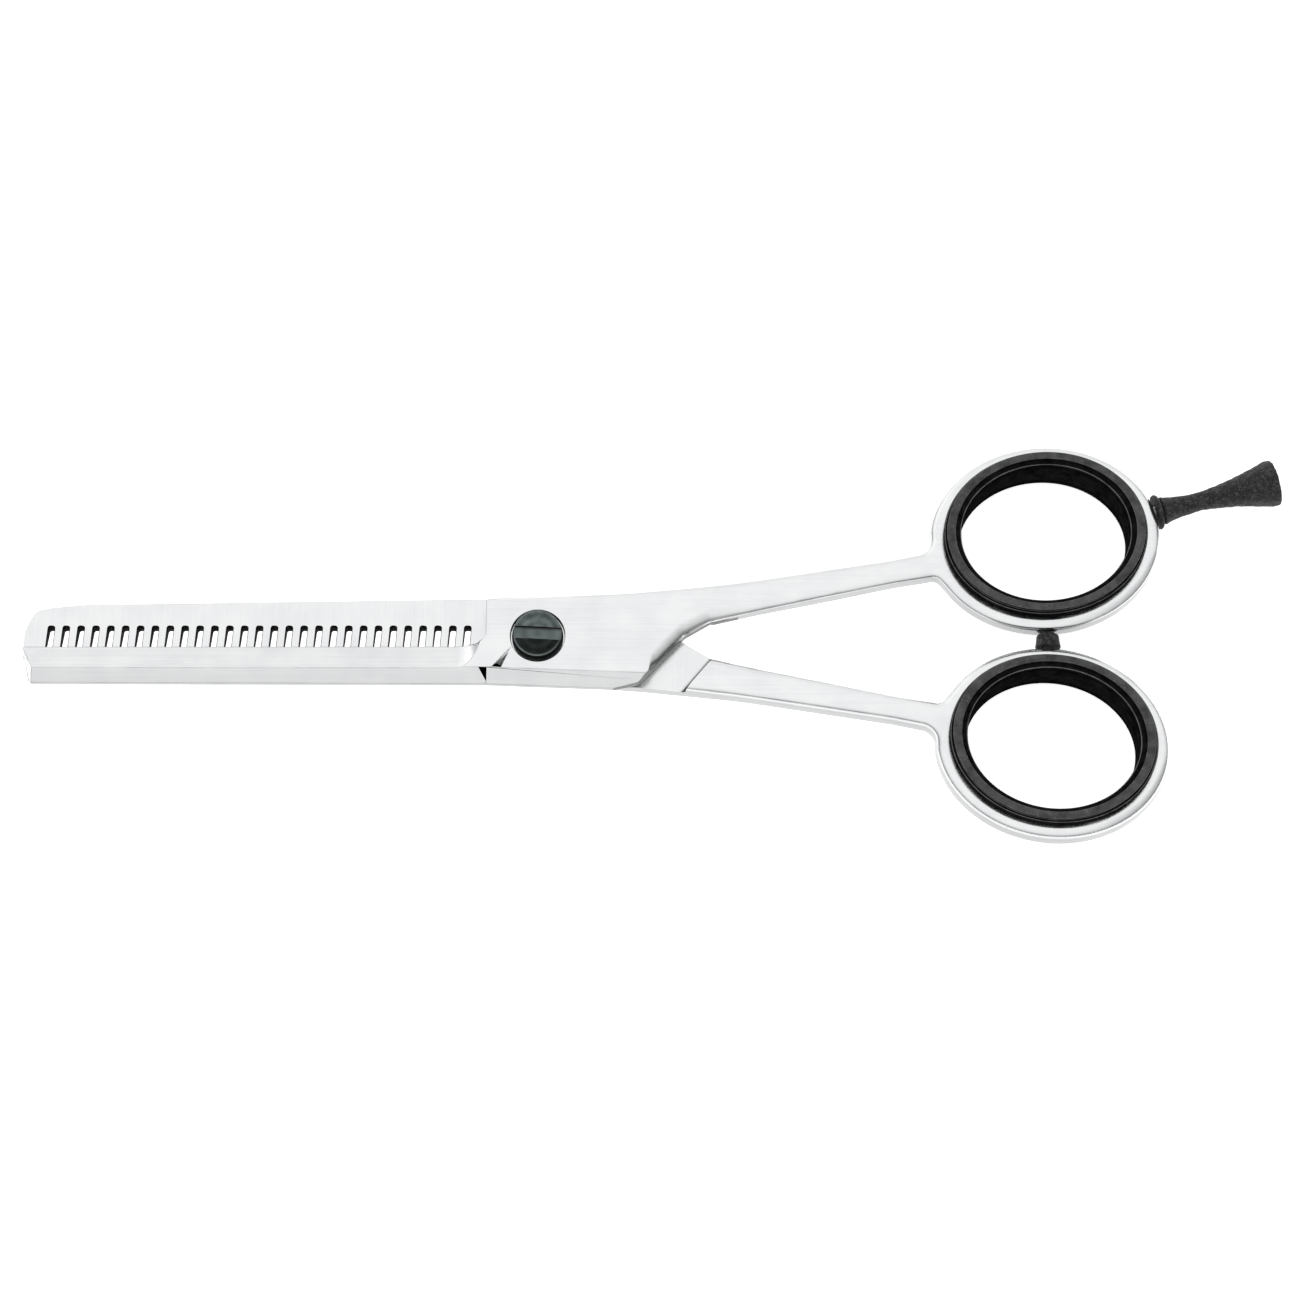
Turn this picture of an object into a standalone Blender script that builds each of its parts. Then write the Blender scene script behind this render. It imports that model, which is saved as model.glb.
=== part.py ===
"""Thinning shears: two steel halves on a slotted tension screw, with rubber ring inserts,
a rubber bumper between the rings and a screw-in finger rest.

The shears lie flat and closed. The pivot axis is the Z axis, +X runs to the finger rings,
+Y to the ring with the finger rest, and Z is zero at the back face of the pivot nut.
Both halves are modelled in one frame, whose Z is zero where the halves meet. The plain half
uses it as it is, and the comb half uses it turned over about the X axis.
"""

import math

import bmesh
import bpy
from mathutils import Matrix, Vector

# Driving dimensions, in metres.

GAP = 0.00025  # clearance between pieces that touch
MATE_GAP = 0.0003  # clearance between the two halves

# Halves: thickness and plan.
PIVOT_THICKNESS = 0.0027  # each half at the pivot, from the plane where they meet
HANDLE_THICKNESS = 0.0038  # shank and steel ring
TIP_X = -0.0745  # blade tips
SHOULDER_X = -0.00745  # where the thick pivot part begins
SHOULDER_Y = 0.0055
SPINE_SHOULDER_Y = -0.0068
SPINE_HEEL_X = 0.0109
SPINE_HEEL_Y = -0.0075
SPINE_LAND = 0.0010  # upright part of the spine, under its bevel
SPINE_SLOPE = 0.85  # rise of the spine bevel across the blade
SHANK_ROUNDING = 0.0014

# Both blades, in the frame of the half.
BLADE_ROOT = 0.0020  # how far a blade reaches into the pivot part
BLADE_ROOT_INSET = 0.0008  # its end's distance from the pivot part's spine
SPINE_RUN_IN = 0.0004  # where the blade's spine meets the pivot part, before the shoulder

# Plain blade. Its tip's outline runs through points given from the tip and the spine.
PLAIN_SPINE_TIP_Y = -0.0066
PLAIN_TIP = [(0.0015, 0.0), (0.0006, 0.0012)]
PLAIN_TIP_EDGE = 0.0015  # straight part of the tip, at the cutting edge
SHOULDER_RADIUS = 0.0012  # where the cutting edge turns up to the shoulder
SHOULDER_ROOT_Y = 0.0006
CUTTING_EDGE_Y = -0.00085
EDGE_LAND = 0.0003
EDGE_SLOPE = 0.56

# Comb blade. Its tip's outline runs through points given from the tip and the spine.
COMB_SPINE_TIP_Y = -0.0058
COMB_TIP = [(0.0090, 0.0), (0.0026, 0.0007), (0.0009, 0.0021), (0.0, 0.0045)]
COMB_SPINE_OFFSET = 0.0001
TOOTH_ROOT_INSET = 0.0005
TOOTH_TIP_Y = 0.0025
TOOTH_TIP_LAND = 0.0006
TOOTH_SLOPE = 0.36
SLOT_COUNT = 29
TIP_TOOTH = 0.0039  # from the tip to the middle of the first slot
SHOULDER_TOOTH = 0.00275  # from the last slot to the shoulder
SLOT_WIDTH = 0.00095
SLOT_ROOT_Y = -0.0025
SLOT_SLANT = math.radians(4.0)

# Plan of the pivot part: where its lower side turns up to the crotch, and its top edge.
HEEL = (0.0146, -0.0068)
CROTCH = (0.0213, 0.00035)
HEEL_RADIUS = 0.0012
CROTCH_RADIUS = 0.0030
BODY_TOP = [(SHOULDER_X, SHOULDER_Y), (0.0045, 0.0063), (0.0140, 0.0070)]
DIAGONAL_ROUNDING_Y = -0.0050  # where the rounding of the lower side begins
STEP_LINE = [(0.0254, 0.00286), (0.0212, 0.00794)]  # past it, the handle fills both halves' height

# Shank: its middle line runs straight from here to a point on the ring.
SHANK_START = (0.0245, 0.0054)
SHANK_AIM = math.radians(188.5)
SHANK_WIDTHS = [(0.0, 0.0057), (0.22, 0.00495), (0.52, 0.0044), (0.81, 0.00385), (1.0, 0.00405)]
SHANK_FILLETS = (0.0024, 0.0012)  # where it meets the ring, on the outer and inner side
RING_BLENDS = (math.radians(21.5), math.radians(15.5))  # stretch of ring that the fillets take
TOP_SLOPE = (0.017, 0.031)  # stretch over which the top comes down from the pivot to the shank
TOP_SLOPE_STEPS = 6
LOWER_SIDE_END_X = 0.030  # up to here, the rounding of the lower side goes by its height

# Finger rings, ovals turned as circles and then squeezed in Y. Radii are the long ones.
RING_X = 0.0738
RING_GAP = 0.0026  # between the two steel rings when closed
RING_OVAL = 0.853  # height over length
RING_TILT = math.radians(7.0)
RING_WALL = 0.0032
FINGER_HOLE_R = 0.0123
RING_SIDES = 60

# Rubber inserts.
INSERT_WALL = 0.0011
INSERT_LIP = 0.0012  # how far the lips reach over the steel ring
INSERT_DEPTH = 0.0084
INSERT_CHAMFER = 0.0004

# Pivot stack.
HEAD_R = 0.0035
HEAD_THICKNESS = 0.0012
HEAD_PROUD = 0.0013  # head top above the plain half
HEAD_CHAMFER = 0.0003
SCREW_SLOT_WIDTH = 0.0018
SCREW_SLOT_DEPTH = 0.0006
SCREW_SLOT_TURN = math.radians(-3.0)
SCREW_R = 0.0021
TENSION_WASHER_MARGIN = 0.0002  # washer beyond the head
TENSION_WASHER_THICKNESS = 0.0005
GLIDE_WASHER_R = 0.0046
GLIDE_WASHER_THICKNESS = 0.0005
NUT_FLANGE_R = 0.0045
NUT_BARREL_R = 0.0032
NUT_FLOOR = 0.0005
NUT_CHAMFER = 0.0003
ROUND_SIDES = 48

# Bumper.
BUMPER_R = 0.0019
BUMPER_STEM_R = 0.0009
BUMPER_STEM_LENGTH = 0.0013
BUMPER_CHAMFER = 0.0005
BUMPER_TAPER = 0.0002  # its top is narrower than its foot by this much in radius

# Finger rest.
REST_ANGLE = math.radians(15.0)  # direction of its axis, from +X towards +Y
REST_FLANGE_R = 0.00265
REST_FLANGE_THICKNESS = 0.0007
REST_LENGTH = 0.0175
REST_BASE_R = 0.00205
REST_WAIST_R = 0.00135
REST_WAIST_AT = 0.0052
REST_END_R = 0.0034
REST_NECK = [(1.0, 0.0), (0.9, 0.001), (0.76, 0.0027)]  # (share of the base radius, distance)
REST_FLARE = 1.6  # how late the horn opens
REST_EDGE = 0.0003  # rounding of its end
REST_CROWN = 0.0001
STUD_R = 0.0009
STUD_IN_REST = 0.0023
STUD_IN_RING = 0.0021
STUD_CHAMFER = 0.0002
REST_SIDES = 28

# Values that follow from those above.

MATE_Z = INSERT_DEPTH / 2.0  # the inserts and the nut stand on one surface
FACE_Z = MATE_GAP / 2.0
HANDLE_Z = HANDLE_THICKNESS / 2.0
SCREW_HOLE_R = SCREW_R + GAP
HEAD_TOP_Z = PIVOT_THICKNESS + HEAD_PROUD
HEAD_BOTTOM_Z = HEAD_TOP_Z - HEAD_THICKNESS
WASHER_TOP_Z = HEAD_BOTTOM_Z - GAP
TENSION_WASHER_R = HEAD_R + TENSION_WASHER_MARGIN
RECESS_FLOOR_Z = WASHER_TOP_Z - TENSION_WASHER_THICKNESS - GAP
GLIDE_TOP_Z = FACE_Z - GAP
GLIDE_BOTTOM_Z = GLIDE_TOP_Z - GLIDE_WASHER_THICKNESS
GLIDE_FLOOR_Z = GLIDE_BOTTOM_Z - GAP
NUT_TOP_Z = -PIVOT_THICKNESS - GAP
SCREW_END_Z = NUT_FLOOR + GAP - MATE_Z
RING_HOLE_R = FINGER_HOLE_R + INSERT_WALL + GAP / RING_OVAL
RING_OUTER_R = RING_HOLE_R + RING_WALL
INSERT_LIP_R = RING_HOLE_R + INSERT_LIP
RING_HALF_HEIGHT = RING_OUTER_R * math.hypot(math.sin(RING_TILT), RING_OVAL * math.cos(RING_TILT))
RING_CENTRE = Vector((RING_X, RING_HALF_HEIGHT + RING_GAP / 2.0, 0.0))
FIRST_SLOT_X = TIP_X + TIP_TOOTH
LAST_SLOT_X = SHOULDER_X - SHOULDER_TOOTH
FAR = 0.3  # size of a cutter that stands for a half space
THROUGH = 0.01  # reach of a cutter that passes right through a half
POCKET_REACH = 0.03  # half the size of the cutter that clears one half for the other
HOLE_START = -0.002  # holes in the rings start outside the surface


def clear_scene():
    for obj in list(bpy.data.objects):
        bpy.data.objects.remove(obj, do_unlink=True)


def new_collection(name):
    collection = bpy.data.collections.new(name)
    bpy.context.scene.collection.children.link(collection)
    return collection


def new_material(name, color, roughness, metallic):
    material = bpy.data.materials.new(name)
    material.use_nodes = True
    shader = material.node_tree.nodes["Principled BSDF"]
    shader.inputs["Base Color"].default_value = (*color, 1.0)
    shader.inputs["Roughness"].default_value = roughness
    shader.inputs["Metallic"].default_value = metallic
    return material


def new_frame(name, location, rotation):
    """An empty that places everything modelled in one half's own frame."""
    frame = bpy.data.objects.new(name, None)
    frame.location = location
    frame.rotation_euler = rotation
    bpy.context.scene.collection.objects.link(frame)
    return frame


def new_object(name, mesh, frame, location=(0.0, 0.0, 0.0), rotation=(0.0, 0.0, 0.0)):
    """A solid starts as a cutter. finish_part makes it one of the object's parts."""
    obj = bpy.data.objects.new(name, mesh)
    obj.parent = frame
    obj.location = location
    obj.rotation_euler = rotation
    obj.hide_render = True
    obj.display_type = "WIRE"
    CUTTERS.objects.link(obj)
    return obj


def finish_part(obj, material, smooth_angle=35.0):
    obj.hide_render = False
    obj.display_type = "TEXTURED"
    CUTTERS.objects.unlink(obj)
    PARTS.objects.link(obj)
    obj.data.materials.clear()
    obj.data.materials.append(material)
    obj.data.shade_smooth()
    obj.data.set_sharp_from_angle(angle=math.radians(smooth_angle))
    return obj


def boolean(target, other, operation):
    modifier = target.modifiers.new(other.name, "BOOLEAN")
    modifier.operation = operation
    modifier.solver = "EXACT"
    modifier.object = other


def cut(target, *cutters):
    for cutter in cutters:
        boolean(target, cutter, "DIFFERENCE")


def join(target, other):
    boolean(target, other, "UNION")


def evaluated_mesh(obj):
    """The object's mesh with its modifiers, and for a curve with its caps welded on."""
    depsgraph = bpy.context.evaluated_depsgraph_get()
    mesh = bpy.data.meshes.new_from_object(obj.evaluated_get(depsgraph))
    shape = bmesh.new()
    shape.from_mesh(mesh)
    bmesh.ops.remove_doubles(shape, verts=shape.verts, dist=1e-6)
    bmesh.ops.recalc_face_normals(shape, faces=shape.faces)
    shape.to_mesh(mesh)
    shape.free()
    return mesh


def plate_mesh(name, outline, bottom, top):
    """A flat outline, a list of (x, y), made solid from bottom to top."""
    curve = bpy.data.curves.new(name, "CURVE")
    curve.dimensions = "2D"
    curve.fill_mode = "BOTH"
    curve.extrude = (top - bottom) / 2.0
    spline = curve.splines.new("POLY")
    spline.points.add(len(outline) - 1)
    for point, (x, y) in zip(spline.points, outline):
        point.co = (x, y, 0.0, 1.0)
    spline.use_cyclic_u = True
    guide = bpy.data.objects.new(name, curve)
    CUTTERS.objects.link(guide)
    mesh = evaluated_mesh(guide)
    bpy.data.objects.remove(guide)
    mesh.transform(Matrix.Translation((0.0, 0.0, (top + bottom) / 2.0)))
    shape = bmesh.new()
    shape.from_mesh(mesh)
    bmesh.ops.dissolve_limit(
        shape,
        angle_limit=math.radians(0.05),
        verts=[],
        edges=[edge for edge in shape.edges if edge.calc_face_angle(0.0) < 1e-4],
    )
    shape.to_mesh(mesh)
    shape.free()
    return mesh


def turned_mesh(name, profile, sides, oval=1.0):
    """A closed profile, a list of (radius, z), turned about Z and then squeezed in Y by oval."""
    mesh = bpy.data.meshes.new(name)
    edges = [(i, (i + 1) % len(profile)) for i in range(len(profile))]
    mesh.from_pydata([(radius, 0.0, z) for radius, z in profile], edges, [])
    guide = bpy.data.objects.new(name, mesh)
    CUTTERS.objects.link(guide)
    screw = guide.modifiers.new("turn", "SCREW")
    screw.axis = "Z"
    screw.steps = sides
    screw.render_steps = sides
    screw.use_merge_vertices = True
    screw.merge_threshold = 0.000001
    turned = evaluated_mesh(guide)
    turned.transform(Matrix.Diagonal((1.0, oval, 1.0, 1.0)))
    bpy.data.objects.remove(guide)
    return turned


def disc_profile(radius, bottom, top, chamfer=0.0):
    return [
        (0.0, top),
        (radius - chamfer, top),
        (radius, top - chamfer),
        (radius, bottom + chamfer),
        (radius - chamfer, bottom),
        (0.0, bottom),
    ] if chamfer else [(0.0, top), (radius, top), (radius, bottom), (0.0, bottom)]


def washer_profile(hole, radius, bottom, top):
    return [(hole, top), (radius, top), (radius, bottom), (hole, bottom)]


def half_space(name, frame, point, normal):
    """A cutter that takes everything on the side of a plane that the normal points to."""
    mesh = bpy.data.meshes.new(name)
    shape = bmesh.new()
    bmesh.ops.create_cube(shape, size=FAR)
    shape.to_mesh(mesh)
    shape.free()
    normal = Vector(normal).normalized()
    place = Vector(point) + normal * FAR / 2.0
    return new_object(name, mesh, frame, place, normal.to_track_quat("Z", "Y").to_euler())


def edge_bevel(name, frame, start, end, land, slope):
    """A plane along the line from start to end, at height land, rising to the line's left by slope."""
    along = Vector((end[0] - start[0], end[1] - start[1], 0.0)).normalized()
    inward = Vector((-along.y, along.x, slope))
    return half_space(name, frame, (start[0], start[1], land), along.cross(inward))


def ring_point(angle, radius):
    """A point of the oval of that long radius, round the ring's centre."""
    x = radius * math.cos(angle)
    y = radius * RING_OVAL * math.sin(angle)
    turned = Matrix.Rotation(RING_TILT, 3, "Z") @ Vector((x, y, 0.0))
    return turned + RING_CENTRE


def smooth_line(points, steps):
    """A smooth curve through the points, with that many steps between each two."""
    line = []
    for i in range(len(points) - 1):
        before = Vector(points[max(i - 1, 0)])
        start = Vector(points[i])
        end = Vector(points[i + 1])
        after = Vector(points[min(i + 2, len(points) - 1)])
        for step in range(steps):
            t = step / steps
            bend = (end - before) * t + (2 * before - 5 * start + 4 * end - after) * t * t
            bend += (3 * start - before - 3 * end + after) * t**3
            line.append(tuple(start + bend / 2.0))
    line.append(tuple(points[-1]))
    return line


def fillet(before, corner, after, radius, steps=5):
    """The arc that rounds a corner between two straight runs."""
    corner = Vector(corner)
    back = (Vector(before) - corner).normalized()
    ahead = (Vector(after) - corner).normalized()
    half_angle = back.angle(ahead) / 2.0
    centre = corner + (back + ahead).normalized() * radius / math.sin(half_angle)
    start = corner + back * radius / math.tan(half_angle) - centre
    turn = start.angle_signed(corner + ahead * radius / math.tan(half_angle) - centre)
    arc = []
    for step in range(steps + 1):
        angle = -turn * step / steps
        c, s = math.cos(angle), math.sin(angle)
        arc.append((centre.x + start.x * c - start.y * s, centre.y + start.x * s + start.y * c))
    return arc


def shank_sides():
    """The two edges of the shank, each from the pivot part to the ring."""
    start = Vector(SHANK_START)
    run = ring_point(SHANK_AIM, RING_OUTER_R).to_2d() - start
    side = Vector((-run.y, run.x)).normalized() / 2.0
    outer = [tuple(start + run * share + side * width) for share, width in SHANK_WIDTHS]
    inner = [tuple(start + run * share - side * width) for share, width in SHANK_WIDTHS]
    return outer, inner


def handle_outline():
    """The plan of the thick pivot part, the shank and the ring, without the blade."""
    outer, inner = shank_sides()
    first = SHANK_AIM - RING_BLENDS[0]
    arc = 2.0 * math.pi - RING_BLENDS[0] - RING_BLENDS[1]
    ring = [ring_point(first - arc * i / RING_SIDES, RING_OUTER_R) for i in range(RING_SIDES + 1)]
    ring = [(point.x, point.y) for point in ring]
    outline = smooth_line(BODY_TOP + outer[:-1], 3)
    outline += fillet(outer[-2], outer[-1], ring[0], SHANK_FILLETS[0])
    outline += ring
    outline += fillet(ring[-1], inner[-1], inner[-2], SHANK_FILLETS[1])
    outline += smooth_line(inner[-2::-1], 3)
    outline += fillet(inner[0], CROTCH, HEEL, CROTCH_RADIUS)
    outline += [tuple(Vector(CROTCH).lerp(HEEL, 0.2 * i)) for i in range(2, 5)]
    outline += fillet(CROTCH, HEEL, (SPINE_HEEL_X, SPINE_HEEL_Y), HEEL_RADIUS)
    outline += [(SPINE_HEEL_X, SPINE_HEEL_Y), (SHOULDER_X, SPINE_SHOULDER_Y)]
    return outline[::-1]


def round_and_slope(mesh):
    """Rounds the edges of the shank and ring, and brings the top down from pivot to shank."""
    shape = bmesh.new()
    shape.from_mesh(mesh)
    weights = shape.edges.layers.float.new("bevel_weight_edge")
    for edge in shape.edges:
        middle = (edge.verts[0].co + edge.verts[1].co) / 2.0
        flat = abs(edge.verts[0].co.z - edge.verts[1].co.z) < 1e-6
        on_spine = middle.y < SPINE_SHOULDER_Y or middle.x < SHOULDER_X + 1e-5
        if flat and edge.calc_face_angle(0.0) > 1.0 and not on_spine:
            lower_side = middle.y < SHOULDER_Y - 0.0002 and middle.x < LOWER_SIDE_END_X
            lower_ramp = (middle.y - DIAGONAL_ROUNDING_Y) / SHANK_ROUNDING
            ramp = (middle.x - SHOULDER_X) / (SHANK_START[0] - SHOULDER_X)
            edge[weights] = min(max(lower_ramp if lower_side else ramp, 0.0), 1.0)
    shape.to_mesh(mesh)
    shape.free()
    guide = new_object("rounding", mesh, None)
    bevel = guide.modifiers.new("rounding", "BEVEL")
    bevel.limit_method = "WEIGHT"
    bevel.width = SHANK_ROUNDING
    bevel.use_clamp_overlap = False
    bevel.segments = 3
    rounded = evaluated_mesh(guide)
    bpy.data.objects.remove(guide)
    shape = bmesh.new()
    shape.from_mesh(rounded)
    start, end = TOP_SLOPE
    for i in range(TOP_SLOPE_STEPS + 1):
        bmesh.ops.bisect_plane(
            shape,
            geom=shape.verts[:] + shape.edges[:] + shape.faces[:],
            plane_co=(start + (end - start) * i / TOP_SLOPE_STEPS, 0.0, 0.0),
            plane_no=(1.0, 0.0, 0.0),
        )
    for vert in shape.verts:
        if vert.co.z > 0.0:
            t = min(max((vert.co.x - start) / (end - start), 0.0), 1.0)
            ease = t * t * (3.0 - 2.0 * t)
            vert.co.z *= 1.0 + ease * (HANDLE_Z / PIVOT_THICKNESS - 1.0)
    bmesh.ops.triangulate(shape, faces=shape.faces)
    shape.to_mesh(rounded)
    shape.free()
    return rounded


def half_body(name, frame):
    """The pivot part, shank and ring of one half, with the clearance for the other half cut in."""
    mesh = plate_mesh(name, handle_outline(), -HANDLE_Z, PIVOT_THICKNESS)
    half = new_object(name, round_and_slope(mesh), frame)
    hole = turned_mesh(
        name + "_ring_hole", disc_profile(RING_HOLE_R, -THROUGH, THROUGH), RING_SIDES, RING_OVAL
    )
    (x1, y1), (x2, y2) = STEP_LINE
    run = Vector((x2 - x1, y2 - y1)) * 4.0
    corners = [
        (x1 + run.x, y1 + run.y),
        (-POCKET_REACH, POCKET_REACH),
        (-POCKET_REACH, -POCKET_REACH),
        (x1 - run.x, y1 - run.y),
    ]
    pocket = plate_mesh(name + "_pocket", corners, -THROUGH, FACE_Z)
    spine = edge_bevel(
        name + "_spine_bevel",
        frame,
        (SHOULDER_X, SPINE_SHOULDER_Y),
        (SPINE_HEEL_X, SPINE_HEEL_Y),
        SPINE_LAND,
        SPINE_SLOPE,
    )
    cut(
        half,
        new_object(name + "_ring_hole", hole, frame, RING_CENTRE, (0.0, 0.0, RING_TILT)),
        new_object(name + "_pocket", pocket, frame),
        spine,
    )
    return half


def blade(name, frame, outline, spine_tip_y, front_y, front_land, front_slope):
    """A blade with a bevel along its spine and a long sloping face to its front edge."""
    solid = new_object(name, plate_mesh(name, outline, FACE_Z, PIVOT_THICKNESS), frame)
    spine = edge_bevel(
        name + "_spine",
        frame,
        (TIP_X, spine_tip_y),
        (SHOULDER_X, SPINE_SHOULDER_Y),
        SPINE_LAND,
        SPINE_SLOPE,
    )
    front = edge_bevel(
        name + "_front", frame, (SHOULDER_X, front_y), (TIP_X, front_y), front_land, front_slope
    )
    cut(solid, spine, front)
    return solid


def blade_root(spine_offset=0.0):
    """The first points of a blade's outline, inside the pivot part and at the shoulder."""
    return [
        (SHOULDER_X + BLADE_ROOT, SPINE_SHOULDER_Y + BLADE_ROOT_INSET),
        (SHOULDER_X - SPINE_RUN_IN, SPINE_SHOULDER_Y + spine_offset),
    ]


def plain_blade(frame):
    edge_tip = (TIP_X, CUTTING_EDGE_Y)
    edge_root = (SHOULDER_X, CUTTING_EDGE_Y)
    outline = blade_root()
    outline += [(TIP_X + x, PLAIN_SPINE_TIP_Y + y) for x, y in PLAIN_TIP]
    outline += [(TIP_X, CUTTING_EDGE_Y - PLAIN_TIP_EDGE), edge_tip]
    outline += fillet(edge_tip, edge_root, (SHOULDER_X, SHOULDER_Y), SHOULDER_RADIUS)
    outline += [(SHOULDER_X + BLADE_ROOT, SHOULDER_ROOT_Y)]
    return blade(
        "plain_blade",
        frame,
        outline,
        PLAIN_SPINE_TIP_Y,
        CUTTING_EDGE_Y,
        EDGE_LAND,
        EDGE_SLOPE,
    )


def comb_blade(frame):
    """The comb's blade. Its slots lean, so that their open ends lie nearer the blade's tip."""
    outline = blade_root(COMB_SPINE_OFFSET)
    outline += [(TIP_X + x, COMB_SPINE_TIP_Y + y) for x, y in COMB_TIP]
    outline += [
        (TIP_X, TOOTH_TIP_Y),
        (SHOULDER_X, TOOTH_TIP_Y),
        (SHOULDER_X + BLADE_ROOT, TOOTH_TIP_Y - TOOTH_ROOT_INSET),
    ]
    solid = blade(
        "comb_blade",
        frame,
        outline,
        COMB_SPINE_TIP_Y,
        TOOTH_TIP_Y,
        TOOTH_TIP_LAND,
        TOOTH_SLOPE,
    )
    shape = bmesh.new()
    length = 2.0 * (TOOTH_TIP_Y - SLOT_ROOT_Y)
    pitch = (LAST_SLOT_X - FIRST_SLOT_X) / (SLOT_COUNT - 1)
    for i in range(SLOT_COUNT):
        root = Matrix.Translation((FIRST_SLOT_X + pitch * i, SLOT_ROOT_Y, 0.0))
        lean = Matrix.Rotation(SLOT_SLANT, 4, "Z")
        size = Matrix.Diagonal((SLOT_WIDTH, length, 2.0 * THROUGH, 1.0))
        place = root @ lean @ Matrix.Translation((0.0, length / 2.0, 0.0)) @ size
        bmesh.ops.create_cube(shape, size=1.0, matrix=place)
    mesh = bpy.data.meshes.new("comb_slots")
    shape.to_mesh(mesh)
    shape.free()
    cut(solid, new_object("comb_slots", mesh, frame))
    return solid


def round_cutter(name, frame, radius, bottom, top):
    return new_object(name, turned_mesh(name, disc_profile(radius, bottom, top), ROUND_SIDES), frame)


def rest_frame_location():
    """Where the finger rest's axis leaves the ring's outer surface."""
    angle = REST_ANGLE - RING_TILT
    flat = math.atan2(math.tan(angle), RING_OVAL)
    return ring_point(flat, RING_OUTER_R)


def make_plain_half(frame):
    half = half_body("plain_half", frame)
    join(half, plain_blade(frame))
    stud_hole = new_object(
        "stud_hole",
        turned_mesh("stud_hole", disc_profile(STUD_R + GAP, -STUD_IN_RING - GAP, -HOLE_START), REST_SIDES),
        frame,
        rest_frame_location(),
        (0.0, math.pi / 2.0, REST_ANGLE),
    )
    cut(
        half,
        round_cutter("screw_hole", frame, SCREW_HOLE_R, -THROUGH, THROUGH),
        round_cutter("head_recess", frame, TENSION_WASHER_R + GAP, RECESS_FLOOR_Z, THROUGH),
        stud_hole,
    )
    return finish_part(half, STEEL)


def make_comb_half(frame):
    """Modelled in the shared frame, which turns it over, so its back face is up here."""
    half = half_body("comb_half", frame)
    join(half, comb_blade(frame))
    stem_hole = new_object(
        "stem_hole",
        turned_mesh(
            "stem_hole",
            disc_profile(BUMPER_STEM_R + GAP, HOLE_START, BUMPER_STEM_LENGTH + GAP),
            REST_SIDES,
        ),
        frame,
        (RING_X, ring_bottom_y(), 0.0),
        (-math.pi / 2.0, 0.0, 0.0),
    )
    cut(
        half,
        round_cutter("barrel_hole", frame, NUT_BARREL_R + GAP, -THROUGH, THROUGH),
        round_cutter("glide_recess", frame, GLIDE_WASHER_R + GAP, -THROUGH, -GLIDE_FLOOR_Z),
        stem_hole,
    )
    return finish_part(half, STEEL)


def ring_bottom_y():
    """Y of the ring's outer surface where the bumper stands, under the ring's centre."""
    nearest = min(
        (ring_point(math.radians(a / 4.0), RING_OUTER_R) for a in range(-480, -240)),
        key=lambda point: abs(point.x - RING_X),
    )
    return nearest.y


def make_pivot_screw(frame):
    profile = [
        (0.0, HEAD_TOP_Z),
        (HEAD_R - HEAD_CHAMFER, HEAD_TOP_Z),
        (HEAD_R, HEAD_TOP_Z - HEAD_CHAMFER),
        (HEAD_R, HEAD_BOTTOM_Z),
        (SCREW_R, HEAD_BOTTOM_Z),
        (SCREW_R, SCREW_END_Z + HEAD_CHAMFER),
        (SCREW_R - HEAD_CHAMFER, SCREW_END_Z),
        (0.0, SCREW_END_Z),
    ]
    screw = new_object("pivot_screw", turned_mesh("pivot_screw", profile, ROUND_SIDES), frame)
    shape = bmesh.new()
    size = Matrix.Diagonal((3.0 * HEAD_R, SCREW_SLOT_WIDTH, 2.0 * SCREW_SLOT_DEPTH, 1.0))
    bmesh.ops.create_cube(shape, size=1.0, matrix=size)
    mesh = bpy.data.meshes.new("screw_slot")
    shape.to_mesh(mesh)
    shape.free()
    slot = new_object("screw_slot", mesh, frame, (0.0, 0.0, HEAD_TOP_Z), (0.0, 0.0, SCREW_SLOT_TURN))
    cut(screw, slot)
    return finish_part(screw, DARK_STEEL)


def make_washers(frame):
    tension = turned_mesh(
        "tension_washer",
        washer_profile(
            SCREW_R + GAP, TENSION_WASHER_R, WASHER_TOP_Z - TENSION_WASHER_THICKNESS, WASHER_TOP_Z
        ),
        ROUND_SIDES,
    )
    finish_part(new_object("tension_washer", tension, frame), DARK_STEEL)
    glide = turned_mesh(
        "glide_washer",
        washer_profile(SCREW_R + GAP, GLIDE_WASHER_R, GLIDE_BOTTOM_Z, GLIDE_TOP_Z),
        ROUND_SIDES,
    )
    finish_part(new_object("glide_washer", glide, frame), NYLON)


def make_pivot_nut(frame):
    barrel_top = GLIDE_FLOOR_Z - GAP
    profile = [
        (SCREW_R + GAP, barrel_top),
        (NUT_BARREL_R, barrel_top),
        (NUT_BARREL_R, NUT_TOP_Z),
        (NUT_FLANGE_R, NUT_TOP_Z),
        (NUT_FLANGE_R, NUT_CHAMFER - MATE_Z),
        (NUT_FLANGE_R - NUT_CHAMFER, -MATE_Z),
        (0.0, -MATE_Z),
        (0.0, NUT_FLOOR - MATE_Z),
        (SCREW_R + GAP, NUT_FLOOR - MATE_Z),
    ]
    nut = new_object("pivot_nut", turned_mesh("pivot_nut", profile, ROUND_SIDES), frame)
    return finish_part(nut, STEEL)


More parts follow.
